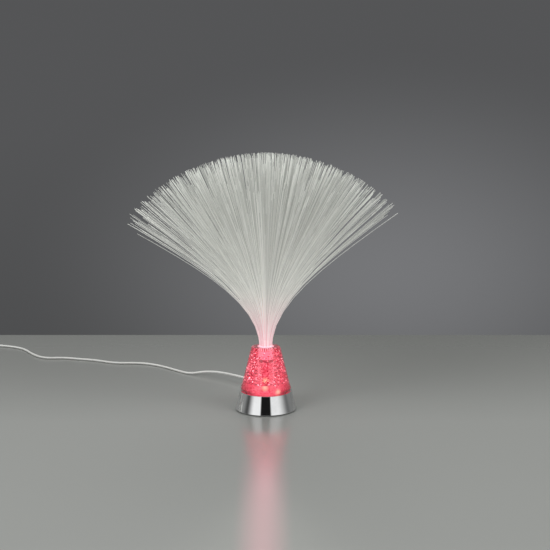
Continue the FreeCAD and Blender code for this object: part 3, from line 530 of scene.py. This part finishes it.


# Glitter and bubbles cast into the acrylic: thin six-sided flakes that lie every way and flash
# where they face a light, between small round bubbles, thrown at random through the casting.
# Both carry a painted glow as well: bright on a random share of the flakes, and at the bubbles' rims.
def shaped_by(name, tree, **inputs):
    """Runs a geometry tree on an empty mesh and keeps the result as a plain mesh."""
    holder = bpy.data.objects.new(name, bpy.data.meshes.new(name))
    bpy.context.scene.collection.objects.link(holder)
    builder = holder.modifiers.new(name, "NODES")
    builder.node_group = tree
    for item in tree.interface.items_tree:
        if item.in_out == "INPUT" and item.name in inputs:
            builder[item.identifier] = inputs[item.name]
    bpy.context.view_layer.update()
    shaped = holder.evaluated_get(bpy.context.evaluated_depsgraph_get())
    mesh = bpy.data.meshes.new_from_object(shaped)
    holder.modifiers.remove(builder)
    holder.data = mesh
    return holder


def pattern(name, **inputs):
    """A new geometry tree with named inputs, whose values give their kinds."""
    tree = bpy.data.node_groups.new(name, "GeometryNodeTree")
    kinds = {float: "NodeSocketFloat", int: "NodeSocketInt"}
    for label, start in inputs.items():
        kind = kinds.get(type(start), "NodeSocketMaterial")
        socket = tree.interface.new_socket(label, in_out="INPUT", socket_type=kind)
        if kind != "NodeSocketMaterial":
            socket.default_value = start
    tree.interface.new_socket("Geometry", in_out="OUTPUT", socket_type="NodeSocketGeometry")
    return tree, put(tree, "NodeGroupInput").outputs, put(tree, "NodeGroupOutput").inputs


def finished(tree, shape, material, result):
    """Ends a geometry tree: real faces, in one material."""
    real = put(tree, "GeometryNodeRealizeInstances", {"Geometry": shape}).outputs[0]
    dressed = put(tree, "GeometryNodeSetMaterial", {"Geometry": real, "Material": material})
    tree.links.new(dressed.outputs[0], result["Geometry"])


class Figure:
    """A figure worked out in a geometry tree, so that its sums can be written as sums."""

    def __init__(self, tree, socket):
        self.tree, self.socket = tree, socket

    def by(self, operation, other=0.0):
        return Figure(self.tree, sums(self.tree, operation, self.socket, socket_of(other)))

    def __add__(self, other):
        return self.by("ADD", other)

    def __sub__(self, other):
        return self.by("SUBTRACT", other)

    def __mul__(self, other):
        return self.by("MULTIPLY", other)

    def __truediv__(self, other):
        return self.by("DIVIDE", other)


def socket_of(feed):
    return feed.socket if isinstance(feed, Figure) else feed


class Pattern:
    """One geometry tree's inputs, chances and kept attributes, as figures."""

    def __init__(self, name, **inputs):
        self.tree, self.given, self.result = pattern(name, **inputs)

    def input(self, label):
        return Figure(self.tree, self.given[label])

    def between(self, low, high, share):
        """A figure between two inputs."""
        return self.input(low) + (self.input(high) - self.input(low)) * share

    def node(self, kind, feeds=(), output=0, **choices):
        feeds = {name: socket_of(feed) for name, feed in dict(feeds).items()}
        return Figure(self.tree, put(self.tree, kind, feeds, **choices).outputs[output])

    def vectors(self, operation, first, second=None, output=0):
        """A sum of vectors, such as their product or a length."""
        feeds = {0: first} if second is None else {0: first, 1: second}
        return self.node("ShaderNodeVectorMath", feeds, output, operation=operation)

    def chance(self, low, high, turn):
        """A random figure for each point."""
        feeds = {2: low, 3: high, 8: self.input("Seed") + float(turn)}
        return self.node("FunctionNodeRandomValue", feeds, 1, data_type="FLOAT")

    def keep(self, shape, label, figure):
        feeds = {"Geometry": shape, "Name": label, "Value": figure}
        kind = "FLOAT_VECTOR" if figure.socket.type == "VECTOR" else "FLOAT"
        return self.node("GeometryNodeStoreNamedAttribute", feeds, data_type=kind, domain="POINT")

    def kept(self, label, kind="FLOAT"):
        return self.node("GeometryNodeInputNamedAttribute", {"Name": label}, data_type=kind)

    def vector(self, **parts):
        return self.node("ShaderNodeCombineXYZ", parts)

    def finish(self, shape):
        finished(self.tree, shape.socket, self.given["Finish"], self.result)


cast = Pattern(
    "cast in", Count=1000, Bottom=0.0365, Top=0.0795, Bottom_Radius=0.0288, Top_Radius=0.0172,
    Well=0.0118, Smallest=0.0002, Largest=0.0012, Facets=6, Roundness=0, Seed=3, Finish=None,
)
cast_share = cast.chance(0.0, 1.0, 1).by("POWER", 1.35)
cast_height = cast.between("Bottom", "Top", cast_share)
cast_outer = cast.between("Bottom_Radius", "Top_Radius", cast_share)
cast_reach = cast.chance(0.0, 1.0, 2).by("POWER", 0.6)
cast_radius = cast.input("Well") + (cast_outer - cast.input("Well")) * cast_reach
cast_angle = cast.chance(0.0, 2 * math.pi, 3)
cast_x, cast_y = cast_radius * cast_angle.by("COSINE"), cast_radius * cast_angle.by("SINE")
cast_place = cast.vector(X=cast_x, Y=cast_y, Z=cast_height)
cast_points = cast.node("GeometryNodePoints", {"Count": cast.input("Count"), "Position": cast_place})
cast_points = cast.keep(cast_points, "tone", cast.chance(0.0, 1.0, 4))
feeds = {"Vertices": cast.input("Facets"), "Radius": 1.0}
flake = cast.node("GeometryNodeMeshCircle", feeds, fill_type="NGON")
bubble = cast.node("GeometryNodeMeshIcoSphere", {"Radius": 1.0, "Subdivisions": 2})
feeds = {2: cast.input("Roundness"), 3: 0}
is_round = cast.node("FunctionNodeCompare", feeds, operation="GREATER_THAN", data_type="INT")
feeds = {"Switch": is_round, "False": flake, "True": bubble}
piece = cast.node("GeometryNodeSwitch", feeds, input_type="GEOMETRY")
cast_turn = cast.vector(X=cast.chance(0.0, 6.3, 5), Y=cast.chance(0.0, 6.3, 6), Z=cast.chance(0.0, 6.3, 7))
cast_size = cast.between("Smallest", "Largest", cast.chance(0.0, 1.0, 8).by("POWER", 2.0))
feeds = {"Points": cast_points, "Instance": piece, "Rotation": cast_turn, "Scale": cast_size}
cast.finish(cast.node("GeometryNodeInstanceOnPoints", feeds))

flakes, tree, shader = finish_of("glitter", Metallic=1.0, Roughness=0.22, Emission_Strength=1.0)
tone = put(tree, "ShaderNodeAttribute", attribute_name="tone").outputs["Fac"]
# Painted light: a random share of the flakes glows bright pink, the rest dim red.
painted_sparkle = sums(tree, "POWER", ramp(tree, tone, 0.3, 1.0), 2.0)
paint(shader, Base_Color=blend(tree, tone, (0.55, 0.12, 0.16, 1), (1.0, 0.72, 0.76, 1)))
paint(shader, Emission_Color=blend(tree, painted_sparkle, (0.2, 0.006, 0.02, 1), (1.6, 0.75, 0.88, 1)))
settle(shaped_by("glitter", cast.tree, Count=1700, Finish=flakes), None, "root", "clear_acrylic")

bubbles, tree, shader = finish_of("bubbles", Roughness=0.1, Emission_Strength=1.0, Coat_Weight=1.0)
edge = put(tree, "ShaderNodeLayerWeight", {"Blend": 0.5}).outputs["Facing"]
tone = put(tree, "ShaderNodeAttribute", attribute_name="tone").outputs["Fac"]
# Painted light: the bubbles glow brightest at their rims, dim red in their middles.
painted_rim_glow = sums(tree, "MULTIPLY", sums(tree, "POWER", edge, 1.6), tone)
paint(shader, Emission_Color=blend(tree, painted_rim_glow, (0.45, 0.02, 0.05, 1), (1.1, 0.5, 0.6, 1)))
paint(shader, Base_Color=blend(tree, tone, (0.3, 0.02, 0.04, 1), (0.7, 0.2, 0.25, 1)))
sizes = {"Smallest": 0.0002, "Largest": 0.0009}
cast_bubbles = shaped_by("bubbles", cast.tree, Count=800, Roundness=1, Seed=11, Finish=bubbles, **sizes)
cast_bubbles.data.shade_smooth()
settle(cast_bubbles, None, "root", "clear_acrylic")


# Collar: a translucent sleeve with a rounded flange, turned by hand, with 24 small grip teeth
# under the flange. Light leaks into it from the well.
collar, tree, shader = finish_of("lit collar", Roughness=0.35, Emission_Strength=1.0, Coat_Weight=0.4)
place = place_in(tree)
height = along(tree, place, "Z")
sleeve = blend(tree, noise(tree, place, 300.0), (1.05, 0.2, 0.29, 1), (1.25, 0.32, 0.43, 1))
# Painted shade: the sleeve is dark where it stands in the acrylic's groove, below the flange.
groove_shade = ramp(tree, height, 0.0768, 0.0774)
flange = ramp(tree, height, 0.0803, 0.0808)
sleeve = blend(tree, groove_shade, sleeve, (0.3, 0.01, 0.03, 1))
paint(shader, Emission_Color=blend(tree, flange, sleeve, (0.3, 0.1, 0.14, 1)))
paint(shader, Base_Color=blend(tree, flange, (0.6, 0.2, 0.26, 1), (0.85, 0.45, 0.52, 1)))
COLLAR_BORE, SLEEVE_RADIUS, COLLAR_TOP = 9.15, 9.95, 83.1
flange_bottom = DISH_FLOOR + 0.1
collar_ring = lathe("collar_ring", [
    (COLLAR_BORE, COLLAR_SEAT, 0), (SLEEVE_RADIUS, COLLAR_SEAT, 0.3), (SLEEVE_RADIUS, flange_bottom, 0),
    (FLANGE_RADIUS, flange_bottom, 0.4), (FLANGE_RADIUS, COLLAR_TOP, 1), (COLLAR_BORE, COLLAR_TOP, 0.4),
], steps=96)
settle(collar_ring, collar, "collar", "frosted_collar", "fibre_collar")

teeth = Pattern(
    "collar teeth", Count=24, Circle=0.00999, Bottom=0.0773, Depth=0.0009, Width=0.0012, Height=0.0037,
    Finish=None,
)
feeds = {"Vertices": teeth.input("Count"), "Radius": teeth.input("Circle")}
tooth_ring = teeth.node("GeometryNodeMeshCircle", feeds)
tooth_size = teeth.vector(X=teeth.input("Depth"), Y=teeth.input("Width"), Z=teeth.input("Height"))
tooth = teeth.node("GeometryNodeMeshCube", {"Size": tooth_size})
tooth_way = teeth.vectors("NORMALIZE", teeth.node("GeometryNodeInputPosition"))
tooth_turn = teeth.node("FunctionNodeAlignRotationToVector", {"Vector": tooth_way}, axis="X", pivot_axis="Z")
feeds = {"Points": tooth_ring, "Instance": tooth, "Rotation": tooth_turn}
tooth_set = teeth.node("GeometryNodeInstanceOnPoints", feeds)
tooth_set = teeth.node("GeometryNodeRealizeInstances", {"Geometry": tooth_set})
tooth_lift = teeth.vector(Z=teeth.input("Bottom") + teeth.input("Height") * 0.5)
teeth.finish(teeth.node("GeometryNodeSetPosition", {"Geometry": tooth_set, "Offset": tooth_lift}))

tooth_finish, tree, shader = finish_of("lit teeth", Roughness=0.3, Emission_Strength=1.0)
light = blend(tree, noise(tree, place_in(tree), 400.0), (0.9, 0.3, 0.38, 1), (1.0, 0.5, 0.58, 1))
paint(shader, Emission_Color=light, Base_Color=light)
settle(shaped_by("collar_teeth", teeth.tree, Finish=tooth_finish), None, "collar", "frosted_collar")


# Ferrule and root: a crimped metal tube round the bundle, which is potted in clear resin and lit
# through, so its top glows palest where the fibres leave it.
FERRULE_BORE, FERRULE_RADIUS, FERRULE_TOP, POT_RADIUS = 8.6, 9.1, 82.6, 8.55
ferrule_ring = lathe("ferrule_ring", [
    (FERRULE_BORE, FERRULE_SEAT, 0), (FERRULE_RADIUS, FERRULE_SEAT, 0.2),
    (FERRULE_RADIUS, FERRULE_TOP, 0.2), (FERRULE_BORE, FERRULE_TOP, 0),
], steps=72)
SATIN = plated("satin metal", (0.75, 0.75, 0.75, 1), (0.62, 0.62, 0.63, 1), 0.3)
settle(ferrule_ring, SATIN, "spray", "ferrule_metal", "fibre_ferrule")

root_finish, tree, shader = finish_of("lit root", Roughness=0.3, Emission_Strength=0.9)
feeds = {"Vector": place_in(tree), "Scale": 1500.0}
cells = put(tree, "ShaderNodeTexVoronoi", feeds).outputs["Distance"]
light = blend(tree, cells, (1.0, 0.7, 0.75, 1), (0.8, 0.2, 0.28, 1))
paint(shader, Emission_Color=light, Base_Color=light)
root_plug = lathe("root_plug", [
    (0, FERRULE_SEAT, 0), (POT_RADIUS, FERRULE_SEAT, 0.1), (POT_RADIUS, COLLAR_TOP, 0.3), (0, COLLAR_TOP, 0),
], steps=72)
settle(root_plug, root_finish, "spray", "fibre_plastic", "fibre_root")


# Fibres: two thousand drawn plastic fibres, each bent outwards by its own weight, in a spray that
# parts into locks towards its edge and leans a little to the left. They carry a painted glow, pink
# and strongest at their roots, and a painted grey light on their lower part against the spray's shade.
MOST_FIBRES, FIRST_ANGLE, GOLDEN_ANGLE, BEND_POWER = 2000, 342.0, 137.50776, 1.35
SHORTENED_FROM, SHORTENING, STRAY_SHORT, PATCH_SHORT = 0.985, 0.57, 0.012, 0.006
spray = Pattern(
    "fibre spray", First=0, Last=700, Whole=MOST_FIBRES, Spread=0.008, Foot=0.0831, Reach=0.2463,
    Tilt=0.995, Lean=0.055, Widest=1.065, Bend_Length=0.055, Width=0.00066, Locks=13.0, Gather=0.85,
    Segments=10, Seed=7, Finish=None,
)
number = spray.node("GeometryNodeInputIndex") + spray.input("First")
share = ((number + 0.5) / spray.input("Whole")).by("SQRT")
angle = number * math.radians(GOLDEN_ANGLE) + math.radians(FIRST_ANGLE)
across, deep = angle.by("COSINE"), angle.by("SINE")
widening = share.by("POWER", 10.0) * 0.2 + 0.8
tilt = spray.input("Tilt") - across * spray.input("Lean") + spray.chance(-0.02, 0.02, 1)
tilt = tilt * share * widening
aim = spray.vector(X=tilt * across, Y=tilt * deep)
feeds = {"Vector": aim, "Scale": spray.input("Locks")}
lock = spray.node("ShaderNodeTexVoronoi", feeds, "Position", voronoi_dimensions="2D")
pull = spray.input("Gather") * spray.chance(0.1, 1.0, 2) * share
aim = spray.node("ShaderNodeMix", {0: pull, 4: aim, 5: lock}, 1, data_type="VECTOR")
off_axis = share * spray.input("Spread")
start = spray.vector(X=off_axis * across, Y=off_axis * deep, Z=spray.input("Foot"))
patch = spray.node("ShaderNodeTexNoise", {"Vector": aim, "Scale": 11.0, "Detail": 2.0})
spare = (spray.vectors("LENGTH", aim, output="Value") - SHORTENED_FROM).by("MAXIMUM", 0.0) * SHORTENING
length = spray.input("Reach") * (spare * -1.0 + 1.0)
length = length - share * spray.chance(0.0, 1.0, 3).by("POWER", 3.0) * STRAY_SHORT
length = length - patch * share * PATCH_SHORT

count = spray.input("Last") - spray.input("First")
roots = spray.node("GeometryNodePoints", {"Count": count, "Position": start})
roots = spray.keep(roots, "aim", aim)
roots = spray.keep(roots, "length", length)
roots = spray.keep(roots, "tone", spray.chance(0.0, 1.0, 4))
roots = spray.keep(roots, "patch", patch)
straight = spray.node("GeometryNodeCurvePrimitiveLine", {"End": (0, 0, 0.001)})
feeds = {"Curve": straight, "Count": spray.input("Segments") + 1.0}
straight = spray.node("GeometryNodeResampleCurve", feeds)
strands = spray.node("GeometryNodeInstanceOnPoints", {"Points": roots, "Instance": straight})
strands = spray.node("GeometryNodeRealizeInstances", {"Geometry": strands})

# Each point of a strand is moved on from the one before it by that stretch's length, at the lean
# that the strand has there, so that the bend is gathered over the strand by an accumulated sum.
done = spray.node("GeometryNodeSplineParameter", {}, "Factor")
one_segment = Figure(spray.tree, sums(spray.tree, "DIVIDE", 1.0, spray.given["Segments"]))
here = done.by("POWER", BEND_POWER) * spray.kept("length")
before = (done - one_segment).by("MAXIMUM", 0.0).by("POWER", BEND_POWER) * spray.kept("length")
step = here - before
aim = spray.kept("aim", "FLOAT_VECTOR")
most_lean = spray.vectors("LENGTH", aim, output="Value").by("MINIMUM", spray.input("Widest"))
upright = ((here + before) * -0.5 / spray.input("Bend_Length")).by("EXPONENT")
lean = most_lean * (upright * -1.0 + 1.0)
feeds = {0: spray.vectors("NORMALIZE", aim), "Scale": step * lean.by("SINE")}
outward = spray.node("ShaderNodeVectorMath", feeds, operation="SCALE")
move = spray.vectors("ADD", outward, spray.vector(Z=step * lean.by("COSINE")))
feeds = {0: move, 1: spray.node("GeometryNodeCurveOfPoint", {}, "Curve Index")}
bent = spray.node("GeometryNodeAccumulateField", feeds, data_type="FLOAT_VECTOR", domain="POINT")
foot = spray.vectors("MULTIPLY", spray.node("GeometryNodeInputPosition"), (1.0, 1.0, 0.0))
foot = spray.vectors("ADD", foot, spray.vector(Z=spray.input("Foot")))
feeds = {"Geometry": strands, "Position": spray.vectors("ADD", foot, bent)}
strands = spray.node("GeometryNodeSetPosition", feeds)
feeds = {"Resolution": 3, "Radius": spray.input("Width") * 0.5}
section = spray.node("GeometryNodeCurvePrimitiveCircle", feeds, mode="RADIUS")
feeds = {"Curve": strands, "Profile Curve": section, "Fill Caps": True}
spray.finish(spray.node("GeometryNodeCurveToMesh", feeds))

fibre_finish, tree, shader = finish_of("fibre", Roughness=0.35, Emission_Strength=1.0)
tone = put(tree, "ShaderNodeAttribute", attribute_name="tone").outputs["Fac"]
patch = put(tree, "ShaderNodeAttribute", attribute_name="patch").outputs["Fac"]
height = along(tree, place_in(tree), "Z")
patchy = sums(tree, "ADD", patch, 0.5)
from_root = sums(tree, "MULTIPLY", sums(tree, "POWER", ramp(tree, height, 0.175, 0.083), 2.2), patchy)
# Painted light: a grey glow on the lower part of the fibres, against the shade inside the dense spray.
painted_lower_light = sums(tree, "MULTIPLY", ramp(tree, height, 0.29, 0.13), patchy)
glow = blend(tree, painted_lower_light, (0.07, 0.071, 0.067, 1), (0.31, 0.31, 0.295, 1))
glow = blend(tree, from_root, glow, (0.5, 0.19, 0.25, 1))
paint(shader, Base_Color=blend(tree, tone, (0.3, 0.308, 0.29, 1), (0.84, 0.85, 0.815, 1)))
paint(shader, Emission_Color=glow)

SOLID_FIBRES, CENTRE_END, MIDDLE_END = 156, 51, 104
centre_last = round(MOST_FIBRES * CENTRE_END / SOLID_FIBRES)
middle_last = round(MOST_FIBRES * MIDDLE_END / SOLID_FIBRES)
for name, node, first, last in (
    ("spray_centre", "fibres_centre", 0, centre_last),
    ("spray_middle", "fibres_middle", centre_last, middle_last),
    ("spray_outer", "fibres_outer", middle_last, MOST_FIBRES),
):
    part_of_spray = shaped_by(name, spray.tree, First=first, Last=last, Finish=fibre_finish)
    part_of_spray.data.shade_smooth()
    settle(part_of_spray, None, "spray", "fibre_plastic", node)


# Switch: a two-part white housing on the lead, with a rocker on trunnions. The rocker tips with its
# own body, and the shells stay with the lead.
def moulded(name, material, body, slot, node):
    """A smooth-shaded copy of a node that stands for it."""
    return settle(smoothed(name, 35, node), material, body, slot, node)


lead_pieces = [
    relief_sleeve,
    moulded("switch_bottom", WHITE_MOULDING, "root", "white_moulding", "switch_lower_shell"),
    moulded("switch_top", WHITE_MOULDING, "root", "white_moulding", "switch_upper_shell"),
    moulded("rocker", WHITE_MOULDING, "rocker", "white_moulding", "switch_rocker"),
]


# Tie: a plastic-covered wire twisted once round the coil, which keeps its solid's form and only
# gets its finish.
dress(plastic("tie covering", (0.75, 0.75, 0.73, 1), (0.65, 0.65, 0.63, 1), 0.5), "cord_tie")


# Adaptor: a two-part white housing with two round pins and a strain relief for the lead. With it the
# lead is whole, and everything on the lead is gathered in one list.
lead_pieces += [
    moulded("adaptor_front", WHITE_MOULDING, "root", "white_moulding", "adaptor_front_shell"),
    moulded("adaptor_back", WHITE_MOULDING, "root", "white_moulding", "adaptor_back_shell"),
    moulded("adaptor_relief", WHITE_PVC, "root", "white_pvc", "adaptor_strain_relief"),
]
lead_pieces += [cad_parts[node] for node in (
    "switch_contacts", "switch_screws", "cord_tie", "adaptor_pins", "adaptor_pin_sleeves", "adaptor_circuit",
)]


# Studio: a grey polished table top that ends behind the lamp, a dim wall beyond it, and a large
# soft box each side of the camera. The chrome shows the boxes as two bright bands painted into the world.
TABLE_SIDE, TABLE_FRONT, TABLE_BACK = 3, -4, 0.426
table_form = bmesh.new()
for x, y in ((-1, TABLE_FRONT), (1, TABLE_FRONT), (1, TABLE_BACK), (-1, TABLE_BACK)):
    table_form.verts.new((x * TABLE_SIDE, y, 0))
table_form.faces.new(table_form.verts)
table_mesh = bpy.data.meshes.new("table")
table_form.to_mesh(table_mesh)
table_form.free()
table = bpy.data.objects.new("table", table_mesh)
bpy.context.scene.collection.objects.link(table)
table_finish, tree, shader = finish_of("polished table", Roughness=0.2, IOR=1.7, Emission_Strength=1.0)
place = place_in(tree)
depth = along(tree, place, "Y")
# Painted shade: the table darkens from the front towards its back edge.
painted_falloff = ramp(tree, depth, 0.42, -0.06)
paint(shader, Base_Color=blend(tree, painted_falloff, (0.127, 0.13, 0.124, 1), (0.25, 0.256, 0.247, 1)))
# Painted light: a soft pink streak on the table in front of the lamp, for its glow.
painted_pink_streak = ramp(tree, sums(tree, "ABSOLUTE", along(tree, place, "X")), 0.032, 0.0, smooth=True)
painted_pink_streak = sums(tree, "MULTIPLY", painted_pink_streak, ramp(tree, depth, -0.10, -0.31, smooth=True))
paint(shader, Emission_Color=blend(tree, painted_pink_streak, (0, 0, 0, 1), (0.2, 0.055, 0.075, 1)))
table_mesh.materials.append(table_finish)


LIT_POINT = Vector((0, 0, 0.12))


def soft_box(name, place, size, power):
    """A square lamp that faces the middle of the part and isn't seen itself."""
    light = bpy.data.lights.new(name, "AREA")
    light.energy = power
    light.size = size
    holder = bpy.data.objects.new(name, light)
    holder.location = place
    holder.rotation_euler = (LIT_POINT - Vector(place)).to_track_quat("-Z", "Y").to_euler()
    holder.visible_camera = False
    holder.visible_glossy = False
    bpy.context.scene.collection.objects.link(holder)


soft_box("left_box", (-1.6, -1.6, 1.7), 1.4, 42)
soft_box("right_box", (1.8, -1.2, 1.5), 1.4, 30)
soft_box("back_box", (0.2, 1.9, 1.8), 1.4, 14)

world = bpy.data.worlds.new("studio")
bpy.context.scene.world = world
world.use_nodes = True
sky = world.node_tree
sky.nodes.clear()
DEGREES = 180 / math.pi
way = put(sky, "ShaderNodeTexCoord").outputs["Generated"]
way_parts = put(sky, "ShaderNodeSeparateXYZ", {0: way}).outputs
forward = sums(sky, "MULTIPLY", way_parts["Y"], -1.0)
rise = sums(sky, "MULTIPLY", sums(sky, "ARCSINE", way_parts["Z"]), DEGREES)
sweep = sums(sky, "MULTIPLY", sums(sky, "ARCTAN2", way_parts["X"], forward), DEGREES)

# The wall seen straight on is painted a little darker low down, with a painted pool of pale light behind the
# spray.
GLOW_SIDE, GLOW_RISE, GLOW_WIDTH, GLOW_HEIGHT = 5.0, -10.0, 17.0, 10.0
wall = blend(sky, ramp(sky, rise, -13.0, -4.0), (0.076, 0.077, 0.079, 1), (0.09, 0.091, 0.094, 1))
side = sums(sky, "MULTIPLY", sums(sky, "ARCTAN2", way_parts["X"], way_parts["Y"]), DEGREES)
side = sums(sky, "DIVIDE", sums(sky, "SUBTRACT", side, GLOW_SIDE), GLOW_WIDTH)
level = sums(sky, "DIVIDE", sums(sky, "SUBTRACT", rise, GLOW_RISE), GLOW_HEIGHT)
away = sums(sky, "ADD", sums(sky, "MULTIPLY", side, side), sums(sky, "MULTIPLY", level, level))
glow = ramp(sky, sums(sky, "SQRT", away), 1.0, 0.0, smooth=True)
wall = blend(sky, glow, wall, (0.18, 0.183, 0.19, 1))


def band(low, low_edge, high, high_edge, angle):
    """1 between two angles, with soft edges."""
    rising = ramp(sky, angle, low - low_edge, low + low_edge, smooth=True)
    falling = ramp(sky, angle, high + high_edge, high - high_edge, smooth=True)
    return sums(sky, "MULTIPLY", rising, falling)


# Seen only in reflections: a brighter room far to each side, and two painted bright bands for the soft boxes
# with a painted dark gap between them.
far_left = ramp(sky, sweep, -76.0, -98.0, smooth=True)
far_right = ramp(sky, sweep, 84.0, 108.0, smooth=True)
room = blend(sky, far_left, (0.075, 0.076, 0.075, 1), (0.27, 0.275, 0.27, 1))
room = blend(sky, far_right, room, (0.21, 0.214, 0.21, 1))
box_rise = band(-5, 4, 50, 6, rise)
left_light = sums(sky, "MULTIPLY", band(-61, 15, -20, 3, sweep), box_rise)
right_light = sums(sky, "MULTIPLY", band(20, 3, 73, 27, sweep), box_rise)
centre_dark = sums(sky, "MULTIPLY", band(-18, 2, 18, 2, sweep), band(-10, 4, 60, 6, rise))
shown = blend(sky, centre_dark, room, (0.01, 0.01, 0.01, 1))
shown = blend(sky, left_light, shown, (0.95, 0.96, 0.95, 1))
shown = blend(sky, right_light, shown, (0.9, 0.91, 0.9, 1))
ray = put(sky, "ShaderNodeLightPath").outputs
mirrored = blend(sky, ray["Is Glossy Ray"], (0.62, 0.63, 0.61, 1), shown)
straight_on = sums(sky, "MAXIMUM", ray["Is Camera Ray"], ray["Is Transmission Ray"])
seen = blend(sky, straight_on, mirrored, wall)
background = put(sky, "ShaderNodeBackground", {"Color": seen, "Strength": 1.0})
put(sky, "ShaderNodeOutputWorld", {"Surface": background.outputs[0]})
